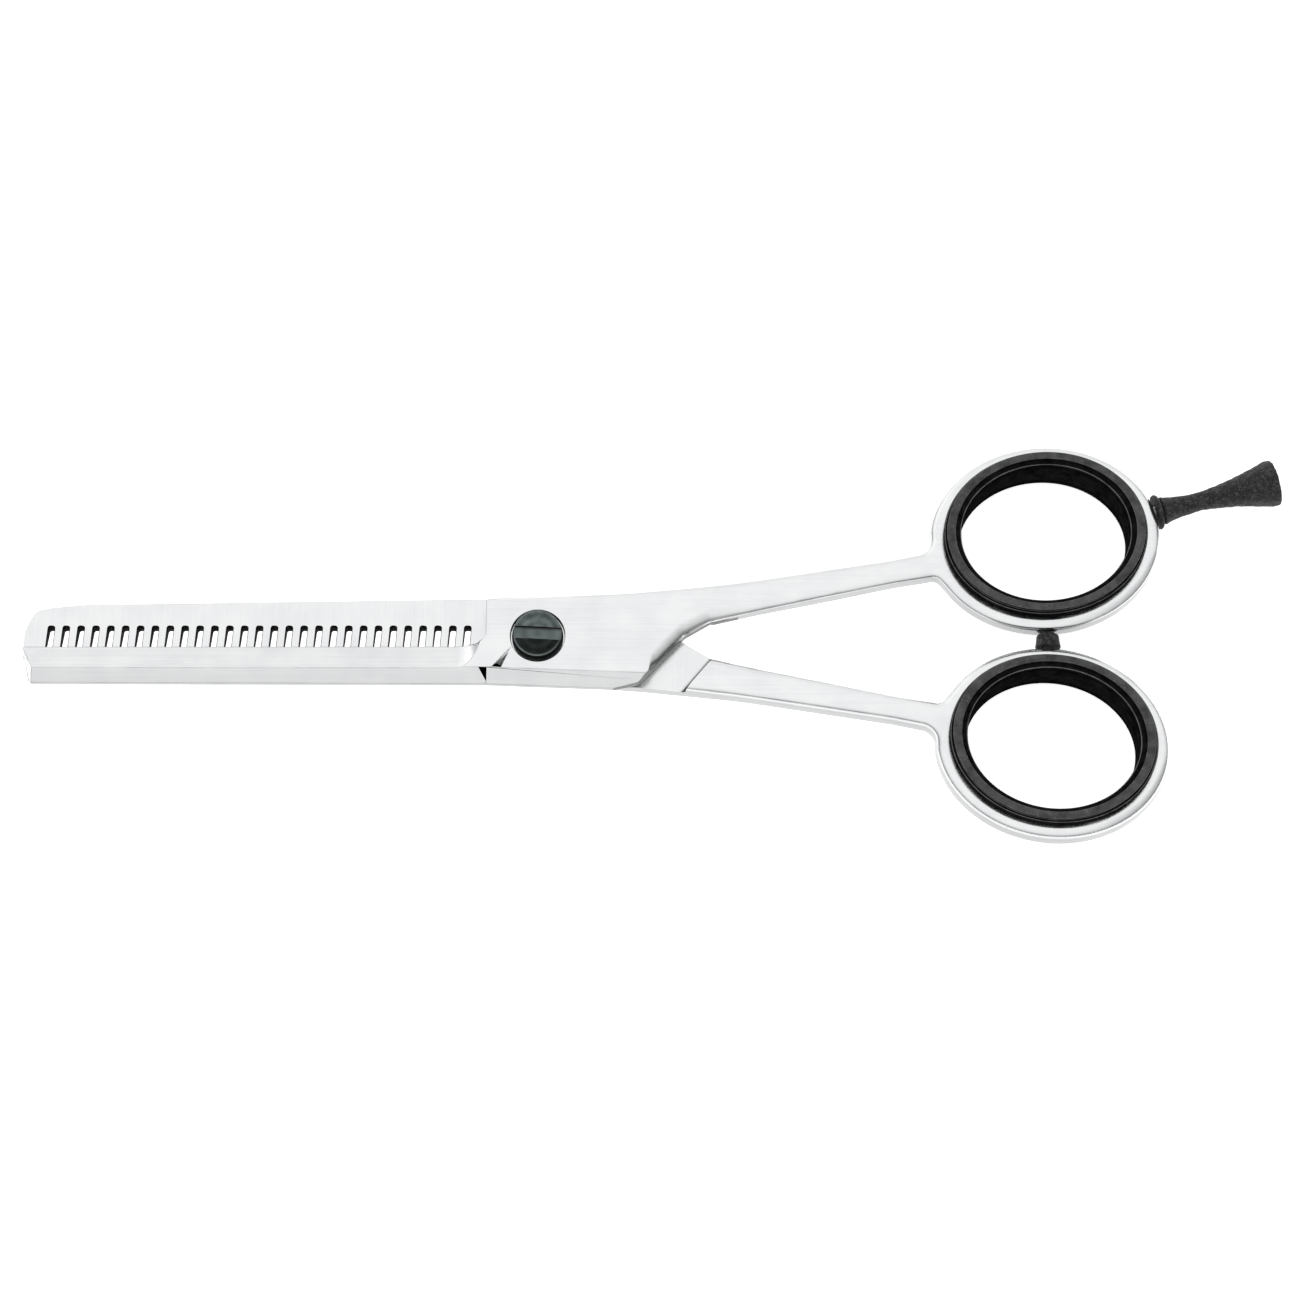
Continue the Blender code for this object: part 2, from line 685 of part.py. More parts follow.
def make_insert(name, frame):
    """A two-lipped sleeve through the steel ring."""
    lip_z = HANDLE_Z + GAP
    end_z = INSERT_DEPTH / 2.0
    body_r = RING_HOLE_R - GAP / RING_OVAL
    upper = [
        (body_r, lip_z),
        (INSERT_LIP_R, lip_z),
        (INSERT_LIP_R, end_z - INSERT_CHAMFER),
        (INSERT_LIP_R - INSERT_CHAMFER, end_z),
        (FINGER_HOLE_R + INSERT_CHAMFER, end_z),
        (FINGER_HOLE_R, end_z - 2.0 * INSERT_CHAMFER),
    ]
    profile = upper[::-1] + [(radius, -z) for radius, z in upper]
    mesh = turned_mesh(name, profile[::-1], RING_SIDES, RING_OVAL)
    insert = new_object(name, mesh, frame, RING_CENTRE, (0.0, 0.0, RING_TILT))
    return finish_part(insert, RUBBER)


def make_bumper(frame):
    """The stop stands on the comb ring and reaches to the plain ring, which is its mirror image."""
    height = 2.0 * ring_bottom_y() - 2.0 * GAP
    profile = [
        (0.0, height),
        (BUMPER_R - BUMPER_TAPER - BUMPER_CHAMFER, height),
        (BUMPER_R - BUMPER_TAPER, height - BUMPER_CHAMFER),
        (BUMPER_R, 0.0),
        (BUMPER_STEM_R, 0.0),
        (BUMPER_STEM_R, -BUMPER_STEM_LENGTH - GAP),
        (0.0, -BUMPER_STEM_LENGTH - GAP),
    ]
    bumper = new_object(
        "bumper",
        turned_mesh("bumper", profile, REST_SIDES),
        frame,
        (RING_X, ring_bottom_y() - GAP, 0.0),
        (math.pi / 2.0, 0.0, 0.0),
    )
    return finish_part(bumper, RUBBER)


def make_finger_rest(frame):
    """Turned pieces on the rest's own axis, local Z, with the ring's surface at zero."""
    place = (rest_frame_location(), (0.0, math.pi / 2.0, REST_ANGLE))
    flange = turned_mesh(
        "finger_rest_washer",
        washer_profile(STUD_R + GAP, REST_FLANGE_R, GAP, GAP + REST_FLANGE_THICKNESS),
        REST_SIDES,
    )
    finish_part(new_object("finger_rest_washer", flange, frame, *place), RUBBER)
    base = 2.0 * GAP + REST_FLANGE_THICKNESS
    bore_end = base + STUD_IN_REST + GAP
    sweep = [(REST_BASE_R * share, base + distance) for share, distance in REST_NECK]
    steps = 8
    for i in range(steps + 1):
        t = i / steps
        z = base + REST_WAIST_AT + (REST_LENGTH - REST_WAIST_AT - REST_EDGE) * t
        sweep.append((REST_WAIST_R + (REST_END_R - REST_WAIST_R) * t**REST_FLARE, z))
    sweep += [(REST_END_R - REST_EDGE, base + REST_LENGTH)]
    bore = [(0.0, bore_end), (STUD_R + GAP, bore_end), (STUD_R + GAP, base)]
    profile = sweep + [(0.0, base + REST_LENGTH + REST_CROWN)] + bore
    rest = turned_mesh("finger_rest", profile[::-1], REST_SIDES)
    finish_part(new_object("finger_rest", rest, frame, *place), RUBBER)
    stud = turned_mesh(
        "finger_rest_stud",
        disc_profile(STUD_R, -STUD_IN_RING, base + STUD_IN_REST, STUD_CHAMFER),
        REST_SIDES,
    )
    finish_part(new_object("finger_rest_stud", stud, frame, *place), DARK_STEEL)


clear_scene()
PARTS = new_collection("thinning_shears")
CUTTERS = new_collection("cutters")
STEEL = new_material("polished_steel", (0.80, 0.81, 0.82), 0.22, 1.0)
DARK_STEEL = new_material("dark_steel", (0.08, 0.09, 0.09), 0.25, 1.0)
RUBBER = new_material("dark_rubber", (0.045, 0.045, 0.048), 0.6, 0.0)
NYLON = new_material("white_nylon", (0.85, 0.85, 0.82), 0.5, 0.0)

UPPER = new_frame("plain_frame", (0.0, 0.0, MATE_Z), (0.0, 0.0, 0.0))
LOWER = new_frame("comb_frame", (0.0, 0.0, MATE_Z), (math.pi, 0.0, 0.0))

make_plain_half(UPPER)
make_comb_half(LOWER)
make_pivot_screw(UPPER)
make_washers(UPPER)
make_pivot_nut(UPPER)
make_insert("plain_ring_insert", UPPER)
make_insert("comb_ring_insert", LOWER)
make_bumper(LOWER)
make_finger_rest(UPPER)
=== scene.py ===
"""Finished thinning shears on their frame: two forged and ground steel halves, the slotted
tension screw with its washers and nut, rubber ring inserts, the bumper and the finger rest.

All sizes are in metres. Both halves are made in one working position, whose Z is zero where
the halves meet. The plain half is then raised to its place, and the comb half turned over.
"""

import math

import bpy
from mathutils import Matrix, Vector, noise


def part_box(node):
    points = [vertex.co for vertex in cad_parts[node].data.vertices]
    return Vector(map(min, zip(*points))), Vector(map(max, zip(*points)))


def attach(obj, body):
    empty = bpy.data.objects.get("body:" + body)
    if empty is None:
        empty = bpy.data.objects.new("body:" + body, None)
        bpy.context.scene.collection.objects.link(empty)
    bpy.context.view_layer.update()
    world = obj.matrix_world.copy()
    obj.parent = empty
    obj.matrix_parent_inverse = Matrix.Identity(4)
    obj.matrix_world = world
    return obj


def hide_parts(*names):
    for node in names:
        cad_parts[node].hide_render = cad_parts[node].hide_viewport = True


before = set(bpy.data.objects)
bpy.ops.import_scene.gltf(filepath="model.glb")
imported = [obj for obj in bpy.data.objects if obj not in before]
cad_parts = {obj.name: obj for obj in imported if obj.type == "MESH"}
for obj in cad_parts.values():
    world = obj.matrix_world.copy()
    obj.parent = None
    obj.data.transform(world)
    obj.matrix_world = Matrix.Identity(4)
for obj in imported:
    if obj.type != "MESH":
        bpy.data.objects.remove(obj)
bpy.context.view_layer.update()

# Places and sizes taken from the frame.

PLAIN_LOW, PLAIN_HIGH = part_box("plain_half")
INSERT_LOW, INSERT_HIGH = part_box("plain_ring_insert")
SCREW_LOW, SCREW_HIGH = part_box("pivot_screw")
TENSION_LOW, TENSION_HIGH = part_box("tension_washer")
GLIDE_LOW, GLIDE_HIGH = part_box("glide_washer")
NUT_LOW, NUT_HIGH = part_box("pivot_nut")
BUMPER_LOW, BUMPER_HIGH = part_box("bumper")

MATE_Z = (INSERT_LOW.z + INSERT_HIGH.z) / 2.0  # plane where the halves meet
PIVOT_THICKNESS = PLAIN_HIGH.z - MATE_Z
HANDLE_Z = MATE_Z - PLAIN_LOW.z
INSERT_Z = INSERT_HIGH.z - MATE_Z
TIP_X = PLAIN_LOW.x
RING_CENTRE = (INSERT_LOW + INSERT_HIGH) / 2.0 - Vector((0.0, 0.0, MATE_Z))

# Halves.

GAP = 0.00025  # clearance between pieces that touch
FACE_Z = 0.00015  # half the clearance between the two halves
SHOULDER_X = -0.00745  # where the thick pivot part begins
SHOULDER_Y = 0.0055
SPINE_SHOULDER_Y = -0.0068
SPINE_HEEL = (0.0109, -0.0075)
SPINE_LAND = 0.0010  # upright part of the spine, under its bevel
SPINE_SLOPE = 0.85
SHANK_ROUNDING = 0.0014
DIAGONAL_ROUNDING = 0.0019  # wider where the lower side turns up to the crotch
EDGE_BREAK = 0.00009  # fine rounding left by the polishing wheel

TIP_LEAN = 0.0014
TIP_LAND = 0.0006
TIP_SLOPE = 2.4

PLAIN_SPINE_TIP_Y = -0.0066
CUTTING_EDGE_Y = -0.00085
EDGE_LAND = 0.0003
EDGE_SLOPE = 0.56
SCOOP_RADIUS = 0.0045  # where the ground face runs up into the pivot part
SCOOP_INSET = 0.00012  # between the end of the scoop and the pivot part
GRIND_OVERHANG = 0.0002  # of the grinding wheel, in front of the cutting edge

COMB_SPINE_TIP_Y = -0.0058
TOOTH_TIP_Y = 0.0025
TOOTH_TIP_LAND = 0.0006
TOOTH_SLOPE = 0.36
SLOT_COUNT = 29
FIRST_SLOT_X = TIP_X + 0.0039
LAST_SLOT_X = SHOULDER_X - 0.00275
SLOT_WIDTH = 0.00095
SLOT_ROOT_Y = -0.0025
SLOT_ROOT_ROUNDING = 0.00032
SLOT_SLANT = math.radians(4.0)

HEEL = (0.0146, -0.0068)
CROTCH = (0.0213, 0.00035)
CROTCH_RADIUS = 0.003
HEEL_RADIUS = 0.0012
BODY_TOP = [(SHOULDER_X, SHOULDER_Y), (0.0045, 0.0063), (0.0140, 0.0070)]
DIAGONAL_ROUNDING_Y = -0.0050
STEP_LINE = [(0.0254, 0.00286), (0.0212, 0.00794)]
STEP_HOLLOW = 0.0010
SHANK_START = (0.0245, 0.0054)
SHANK_AIM = math.radians(188.5)
SHANK_WIDTHS = [(0.0, 0.0057), (0.22, 0.00495), (0.52, 0.0044), (0.81, 0.00385), (1.0, 0.00405)]
SHANK_FILLETS = (0.0024, 0.0012)
RING_BLENDS = (math.radians(21.5), math.radians(15.5))
TOP_SLOPE = (0.017, 0.031)

# Rings and inserts: ovals, given by their long radius.

RING_OVAL = 0.853
RING_TILT = math.radians(7.0)
RING_WALL = 0.0032
FINGER_HOLE_R = 0.0123
INSERT_WALL = 0.0011
INSERT_LIP = 0.0012
RING_HOLE_R = FINGER_HOLE_R + INSERT_WALL + GAP / RING_OVAL
RING_OUTER_R = RING_HOLE_R + RING_WALL
INSERT_LIP_R = RING_HOLE_R + INSERT_LIP

# Pivot stack, on the Z axis.

HEAD_R = (SCREW_HIGH.x - SCREW_LOW.x) / 2.0
HEAD_TOP_Z = SCREW_HIGH.z - MATE_Z
HEAD_THICKNESS = 0.0012
SCREW_R = 0.0021
SCREW_END_Z = SCREW_LOW.z - MATE_Z
THREAD_PITCH = 0.00035
SCREW_SLOT_WIDTH = 0.0018
SCREW_SLOT_DEPTH = 0.0006
SCREW_SLOT_TURN = math.radians(-3.0)
TENSION_WASHER_R = (TENSION_HIGH.x - TENSION_LOW.x) / 2.0
RECESS_FLOOR_Z = TENSION_LOW.z - MATE_Z - GAP
GLIDE_WASHER_R = (GLIDE_HIGH.x - GLIDE_LOW.x) / 2.0
GLIDE_FLOOR_Z = GLIDE_LOW.z - MATE_Z - GAP
NUT_FLANGE_R = (NUT_HIGH.x - NUT_LOW.x) / 2.0
NUT_BARREL_R = 0.0032
NUT_FLANGE_TOP_Z = -PIVOT_THICKNESS - GAP
NUT_FLOOR = 0.0005

# Bumper and finger rest.

BUMPER_R = (BUMPER_HIGH.x - BUMPER_LOW.x) / 2.0
BUMPER_STEM_R = 0.0009
BUMPER_STEM_DEPTH = 0.00155  # of its hole in the lower ring
REST_ANGLE = math.radians(15.0)
REST_FLANGE_R = 0.00265
REST_FLANGE_THICKNESS = 0.0007
REST_LENGTH = 0.0175
REST_BASE_R = 0.00205
REST_WAIST_R = 0.00135
REST_WAIST_AT = 0.0052
REST_END_R = 0.0034
STUD_R = 0.0009
STUD_IN_REST = 0.0023
STUD_IN_RING = 0.0021

FAR = 0.2  # reach of a cutter that has no end
RING_SIDES = 180
ROUND_SIDES = 96

RAISED = Matrix.Translation((0.0, 0.0, MATE_Z))
TURNED_OVER = RAISED @ Matrix.Rotation(math.pi, 4, "X")


# Working with one piece at a time.


def pick(piece):
    bpy.ops.object.select_all(action="DESELECT")
    piece.select_set(True)
    bpy.context.view_layer.objects.active = piece


def edit_all(piece):
    pick(piece)
    bpy.ops.object.mode_set(mode="EDIT")
    bpy.ops.mesh.select_all(action="SELECT")


def leave_edit():
    bpy.ops.object.mode_set(mode="OBJECT")


def tidy(piece):
    edit_all(piece)
    bpy.ops.mesh.remove_doubles(threshold=0.000001)
    bpy.ops.mesh.delete_loose()
    bpy.ops.mesh.select_all(action="SELECT")
    bpy.ops.mesh.normals_make_consistent(inside=False)
    leave_edit()


def clean_joins(piece, reach):
    """Merges points that a cut left almost on top of each other."""
    edit_all(piece)
    bpy.ops.mesh.remove_doubles(threshold=reach)
    bpy.ops.mesh.dissolve_degenerate(threshold=reach)
    leave_edit()


def apply_modifier(piece, modifier):
    pick(piece)
    bpy.ops.object.modifier_apply(modifier=modifier.name)


def plate(name, outline, bottom, top):
    """A flat plate: a filled circle with its points moved to the outline, extruded upwards."""
    bpy.ops.object.select_all(action="DESELECT")
    bpy.ops.mesh.primitive_circle_add(vertices=len(outline), radius=0.01, fill_type="NGON")
    piece = bpy.context.object
    piece.name = name
    for vert, point in zip(piece.data.vertices, outline):
        vert.co = (point[0], point[1], bottom)
    edit_all(piece)
    bpy.ops.mesh.extrude_region_move(TRANSFORM_OT_translate={"value": (0.0, 0.0, top - bottom)})
    leave_edit()
    tidy(piece)
    return piece


def turned(name, profile, sides, oval=1.0):
    """A closed profile of (radius, height), spun about Z, then squeezed in Y by oval."""
    bpy.ops.object.select_all(action="DESELECT")
    bpy.ops.mesh.primitive_circle_add(vertices=len(profile), radius=0.01, fill_type="NOTHING")
    piece = bpy.context.object
    piece.name = name
    for vert, (radius, height) in zip(piece.data.vertices, profile):
        vert.co = (radius, 0.0, height)
    edit_all(piece)
    bpy.ops.mesh.spin(
        steps=sides, angle=2.0 * math.pi, center=(0.0, 0.0, 0.0), axis=(0.0, 0.0, 1.0)
    )
    leave_edit()
    tidy(piece)
    piece.data.transform(Matrix.Diagonal((1.0, oval, 1.0, 1.0)))
    return piece


def block(name, size, place):
    """A cutter: a cube of that size, set by the matrix place."""
    bpy.ops.object.select_all(action="DESELECT")
    bpy.ops.mesh.primitive_cube_add(size=1.0)
    piece = bpy.context.object
    piece.name = name
    piece.data.transform(place @ Matrix.Diagonal((*size, 1.0)))
    return piece


def round_cutter(name, radius, bottom, top, sides=ROUND_SIDES):
    bpy.ops.object.select_all(action="DESELECT")
    bpy.ops.mesh.primitive_cylinder_add(vertices=sides, radius=radius, depth=top - bottom)
    piece = bpy.context.object
    piece.name = name
    piece.data.transform(Matrix.Translation((0.0, 0.0, (top + bottom) / 2.0)))
    return piece


def combine(piece, other, operation):
    modifier = piece.modifiers.new("combine", "BOOLEAN")
    modifier.operation = operation
    modifier.solver = "EXACT"
    modifier.object = other
    apply_modifier(piece, modifier)
    bpy.data.objects.remove(other)
    clean_joins(piece, 0.000002)


def carve(piece, *cutters):
    for cutter in cutters:
        combine(piece, cutter, "DIFFERENCE")


def slice_off(piece, start, end, land, slope):
    """Cuts along the line from start to end, at height land, rising to its left by slope."""
    along = Vector((end[0] - start[0], end[1] - start[1], 0.0)).normalized()
    normal = along.cross(Vector((-along.y, along.x, slope))).normalized()
    edit_all(piece)
    bpy.ops.mesh.bisect(
        plane_co=(start[0], start[1], land), plane_no=normal, use_fill=True, clear_outer=True
    )
    leave_edit()


def round_edges(piece, chosen, radius, segments):
    """Rounds the edges that the test picks by their two ends."""
    edit_all(piece)
    bpy.ops.mesh.select_mode(type="EDGE")
    bpy.ops.mesh.select_all(action="DESELECT")
    leave_edit()
    verts = piece.data.vertices
    for edge in piece.data.edges:
        edge.select = chosen(*[verts[i].co for i in edge.vertices])
    bpy.ops.object.mode_set(mode="EDIT")
    bpy.ops.mesh.bevel(offset=radius, offset_type="OFFSET", segments=segments, affect="EDGES")
    leave_edit()


def break_edges(piece, width, angle=28.0, segments=2):
    """Merges what the cutters left, and rounds every edge sharper than the angle.

    The new narrow faces take the piece's last finish: on the halves a darker steel, painted shade
    along the edges, and on the screw a lighter rim, a painted highlight."""
    clean_joins(piece, 0.00002)
    edit_all(piece)
    bpy.ops.mesh.dissolve_limited(angle_limit=math.radians(0.3))
    leave_edit()
    bevel = piece.modifiers.new("broken edges", "BEVEL")
    bevel.limit_method = "ANGLE"
    bevel.angle_limit = math.radians(angle)
    bevel.width = width
    bevel.segments = segments
    bevel.use_clamp_overlap = False
    bevel.material = max(len(piece.data.materials) - 1, 0)
    apply_modifier(piece, bevel)


def smooth(piece, angle=32.0):
    pick(piece)
    bpy.ops.object.shade_smooth_by_angle(angle=math.radians(angle))


def flatten_shading(piece):
    """Lets the large flat faces set the shading along their edges."""
    weighted = piece.modifiers.new("flat faces", "WEIGHTED_NORMAL")
    weighted.keep_sharp = True
    weighted.weight = 100
    apply_modifier(piece, weighted)


def set_down(piece, place):
    piece.data.transform(place)
    piece.data.update()


def hand_over(piece, name, body, slot, *nodes):
    """Names the finished piece and says what it rides on and stands for."""
    piece.name = name
    piece.data.name = name
    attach(piece, body)
    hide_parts(*nodes)


def wear(piece, *finishes):
    piece.data.materials.clear()
    for finish in finishes:
        piece.data.materials.append(finish)


def finish_faces(piece, number, chosen):
    """Gives a numbered finish to the faces that the test picks."""
    for face in piece.data.polygons:
        if chosen(face):
            face.material_index = number


# Outlines.


def smooth_line(points, steps):
    """A smooth curve through the points, with that many steps between each two."""
    line = []
    for i in range(len(points) - 1):
        before = Vector(points[max(i - 1, 0)])
        start = Vector(points[i])
        end = Vector(points[i + 1])
        after = Vector(points[min(i + 2, len(points) - 1)])
        for step in range(steps):
            t = step / steps
            bend = (end - before) * t + (2 * before - 5 * start + 4 * end - after) * t * t
            bend += (3 * start - before - 3 * end + after) * t**3
            line.append(tuple(start + bend / 2.0))
    line.append(tuple(points[-1]))
    return line


def fillet(before, corner, after, radius, steps=8):
    """The arc that rounds a corner between two straight runs."""
    corner = Vector(corner)
    back = (Vector(before) - corner).normalized()
    ahead = (Vector(after) - corner).normalized()
    half_angle = back.angle(ahead) / 2.0
    centre = corner + (back + ahead).normalized() * radius / math.sin(half_angle)
    start = corner + back * radius / math.tan(half_angle) - centre
    turn = start.angle_signed(corner + ahead * radius / math.tan(half_angle) - centre)
    arc = []
    for step in range(steps + 1):
        angle = -turn * step / steps
        c, s = math.cos(angle), math.sin(angle)
        arc.append((centre.x + start.x * c - start.y * s, centre.y + start.x * s + start.y * c))
    return arc


def rounded_profile(corners, steps=4):
    """A closed line from (x, y, radius) corners. A radius of zero keeps the corner."""
    line = []
    for i, (x, y, radius) in enumerate(corners):
        before = corners[i - 1][:2]
        after = corners[(i + 1) % len(corners)][:2]
        if radius:
            line += fillet(before, (x, y), after, radius, steps)
        else:
            line.append((x, y))
    return line


def ring_point(angle, radius):
    """A point of the oval of that long radius, round the ring's centre."""
    x = radius * math.cos(angle)
    y = radius * RING_OVAL * math.sin(angle)
    return Matrix.Rotation(RING_TILT, 3, "Z") @ Vector((x, y, 0.0)) + RING_CENTRE


def shank_sides():
    start = Vector(SHANK_START)
    run = ring_point(SHANK_AIM, RING_OUTER_R).to_2d() - start
    side = Vector((-run.y, run.x)).normalized() / 2.0
    outer = [tuple(start + run * share + side * width) for share, width in SHANK_WIDTHS]
    inner = [tuple(start + run * share - side * width) for share, width in SHANK_WIDTHS]
    return outer, inner


def handle_outline():
    """The plan of the pivot part, the shank and the ring, without the blade."""
    outer, inner = shank_sides()
    first = SHANK_AIM - RING_BLENDS[0]
    arc = 2.0 * math.pi - RING_BLENDS[0] - RING_BLENDS[1]
    steps = RING_SIDES * 5 // 6
    ring = [ring_point(first - arc * i / steps, RING_OUTER_R) for i in range(steps + 1)]
    ring = [(point.x, point.y) for point in ring]
    outline = smooth_line(BODY_TOP + outer[:-1], 8)
    outline += fillet(outer[-2], outer[-1], ring[0], SHANK_FILLETS[0], 12)
    outline += ring
    outline += fillet(ring[-1], inner[-1], inner[-2], SHANK_FILLETS[1], 12)
    outline += smooth_line(inner[-2::-1], 8)
    outline += fillet(inner[0], CROTCH, HEEL, CROTCH_RADIUS, 12)
    outline += [tuple(Vector(CROTCH).lerp(HEEL, 0.08 * i)) for i in range(5, 11)]
    outline += fillet(CROTCH, HEEL, SPINE_HEEL, HEEL_RADIUS, 10)
    outline += [SPINE_HEEL, (SHOULDER_X, SPINE_SHOULDER_Y)]
    return outline[::-1]


# The two forged halves.


def round_shank(piece):
    """Rounds the shank and ring, fading out towards the ground faces of the pivot part."""
    weights = piece.data.attributes.new("bevel_weight_edge", "FLOAT", "EDGE")
    for edge in piece.data.edges:
        ends = [piece.data.vertices[i].co for i in edge.vertices]
        middle = (ends[0] + ends[1]) / 2.0
        level = abs(ends[0].z - ends[1].z) < 1e-6
        on_spine = middle.y < SPINE_SHOULDER_Y or middle.x < SHOULDER_X + 1e-5
        if level and not on_spine:
            lower_side = middle.y < SHOULDER_Y - 0.0002 and middle.x < 0.04
            lower_ramp = (middle.y - DIAGONAL_ROUNDING_Y) / SHANK_ROUNDING
            fade = min(max((0.04 - middle.x) / 0.016, 0.0), 1.0)
            widest = SHANK_ROUNDING + (DIAGONAL_ROUNDING - SHANK_ROUNDING) * fade
            ramp = (middle.x - SHOULDER_X) / (SHANK_START[0] - SHOULDER_X)
            amount = min(max(lower_ramp if lower_side else ramp, 0.0), 1.0)
            amount *= (widest if lower_side else SHANK_ROUNDING) / DIAGONAL_ROUNDING
            weights.data[edge.index].value = amount if amount > 0.04 else 0.0
    bevel = piece.modifiers.new("rounding", "BEVEL")
    bevel.limit_method = "WEIGHT"
    bevel.width = DIAGONAL_ROUNDING
    bevel.use_clamp_overlap = False
    bevel.segments = 8
    apply_modifier(piece, bevel)
    clean_joins(piece, 0.00001)


def slope_top(piece):
    """Brings the top down in an easy curve from the pivot part to the shank."""
    start, end = TOP_SLOPE
    cuts = 14
    edit_all(piece)
    for i in range(cuts + 1):
        place = (start + (end - start) * i / cuts, 0.0, 0.0)
        bpy.ops.mesh.select_all(action="SELECT")
        bpy.ops.mesh.bisect(plane_co=place, plane_no=(1.0, 0.0, 0.0))
    leave_edit()
    for vert in piece.data.vertices:
        if vert.co.z > 0.0:
            t = min(max((vert.co.x - start) / (end - start), 0.0), 1.0)
            ease = t * t * (3.0 - 2.0 * t)
            vert.co.z *= 1.0 + ease * (HANDLE_Z / PIVOT_THICKNESS - 1.0)
    edit_all(piece)
    bpy.ops.mesh.quads_convert_to_tris()
    leave_edit()


def forged_handle(name):
    """Pivot part, shank and ring, with the ring's hole and the clearance for the other half."""
    piece = plate(name, handle_outline(), -HANDLE_Z, PIVOT_THICKNESS)
    round_shank(piece)
    slope_top(piece)
    slice_off(piece, (SHOULDER_X, SPINE_SHOULDER_Y), SPINE_HEEL, SPINE_LAND, SPINE_SLOPE)
    ring_bore = round_cutter("ring bore", RING_HOLE_R, -FAR, FAR, RING_SIDES)
    place = Matrix.Translation(RING_CENTRE) @ Matrix.Rotation(RING_TILT, 4, "Z")
    set_down(ring_bore, place @ Matrix.Diagonal((1.0, RING_OVAL, 1.0, 1.0)))
    (x1, y1), (x2, y2) = STEP_LINE
    run = Vector((x2 - x1, y2 - y1)) * 4.0
    corners = [(x1 + run.x, y1 + run.y), (-0.03, 0.03), (-0.03, -0.03), (x1 - run.x, y1 - run.y)]
    pocket = plate("pocket", corners, -0.01, FACE_Z)
    across = Vector((y2 - y1, x1 - x2, 0.0)).normalized()
    step = Vector((x1, y1, 0.0))

    def at_step(point):
        return abs((point - step).dot(across)) < 0.00003

    round_edges(
        pocket,
        lambda a, b: at_step(a) and at_step(b) and min(a.z, b.z) > FACE_Z - 0.00001,
        STEP_HOLLOW,
        8,
    )
    carve(piece, ring_bore, pocket)
    return piece


def ground_blade(name, outline, spine_tip_y):
    piece = plate(name, outline, FACE_Z, PIVOT_THICKNESS)
    slice_off(piece, (TIP_X, spine_tip_y), (SHOULDER_X, SPINE_SHOULDER_Y), SPINE_LAND, SPINE_SLOPE)
    tip_foot = (TIP_X + TIP_LEAN, spine_tip_y)
    slice_off(piece, (TIP_X, CUTTING_EDGE_Y), tip_foot, TIP_LAND, TIP_SLOPE)
    return piece


def front_grind():
    """The wheel that grinds the plain blade's front face: a plane with a round right end."""
    length = SHOULDER_X - TIP_X + 0.02
    wheel = block("front grind", (length, 0.03, 0.02), Matrix.Translation((-length / 2.0, 0.0, 0.01)))
    round_edges(
        wheel,
        lambda a, b: max(abs(a.x), abs(b.x), abs(a.z), abs(b.z)) < 0.000001,
        SCOOP_RADIUS,
        14,
    )
    tilt = Matrix.Rotation(-math.atan(EDGE_SLOPE), 4, "X")
    away = Matrix.Translation((0.0, GRIND_OVERHANG - 0.015, 0.0))
    edge = (SHOULDER_X - SCOOP_INSET, CUTTING_EDGE_Y, EDGE_LAND)
    place = Matrix.Translation(edge) @ tilt @ away
    set_down(wheel, place)
    return wheel


def comb_slots():
    """Cutters for the slots: one with a rounded root, copied along the blade."""
    length = 2.0 * (TOOTH_TIP_Y - SLOT_ROOT_Y)
    first = block(
        "slot", (SLOT_WIDTH, length, 0.02), Matrix.Translation((0.0, length / 2.0, 0.0))
    )
    round_edges(
        first,
        lambda a, b: max(abs(a.y), abs(b.y)) < 0.000001 and abs(a.z - b.z) > 0.01,
        SLOT_ROOT_ROUNDING,
        5,
    )
    cutters = [first]
    for _ in range(SLOT_COUNT - 1):
        copy = first.copy()
        copy.data = first.data.copy()
        bpy.context.scene.collection.objects.link(copy)
        cutters.append(copy)
    pitch = (LAST_SLOT_X - FIRST_SLOT_X) / (SLOT_COUNT - 1)
    for i, cutter in enumerate(cutters):
        root = Matrix.Translation((FIRST_SLOT_X + pitch * i, SLOT_ROOT_Y, 0.0))
        set_down(cutter, root @ Matrix.Rotation(SLOT_SLANT, 4, "Z"))
    bpy.ops.object.select_all(action="DESELECT")
    for cutter in cutters:
        cutter.select_set(True)
    bpy.context.view_layer.objects.active = first
    bpy.ops.object.join()
    return first


def rest_frame():
    """The finger rest's axis as local Z, from where it leaves the ring."""
    flat = math.atan2(math.tan(REST_ANGLE - RING_TILT), RING_OVAL)
    turn = Matrix.Rotation(REST_ANGLE, 4, "Z") @ Matrix.Rotation(math.pi / 2.0, 4, "Y")
    return Matrix.Translation(ring_point(flat, RING_OUTER_R)) @ turn


def ring_bottom_y():
    """Y of the ring's outer surface under the ring's centre."""
    angles = [math.radians(a / 4.0) for a in range(-480, -240)]
    points = [ring_point(angle, RING_OUTER_R) for angle in angles]
    return min(points, key=lambda point: abs(point.x - RING_CENTRE.x)).y


def in_slot(face):
    """Tells the walls of the comb's slots, with their broken edges, from its other faces."""
    along = FIRST_SLOT_X - 2.0 * SLOT_WIDTH < face.center.x < LAST_SLOT_X + 2.0 * SLOT_WIDTH
    across = SLOT_ROOT_Y - 0.0002 < face.center.y < TOOTH_TIP_Y - 0.0001
    return along and across and abs(face.normal.z) < 0.93


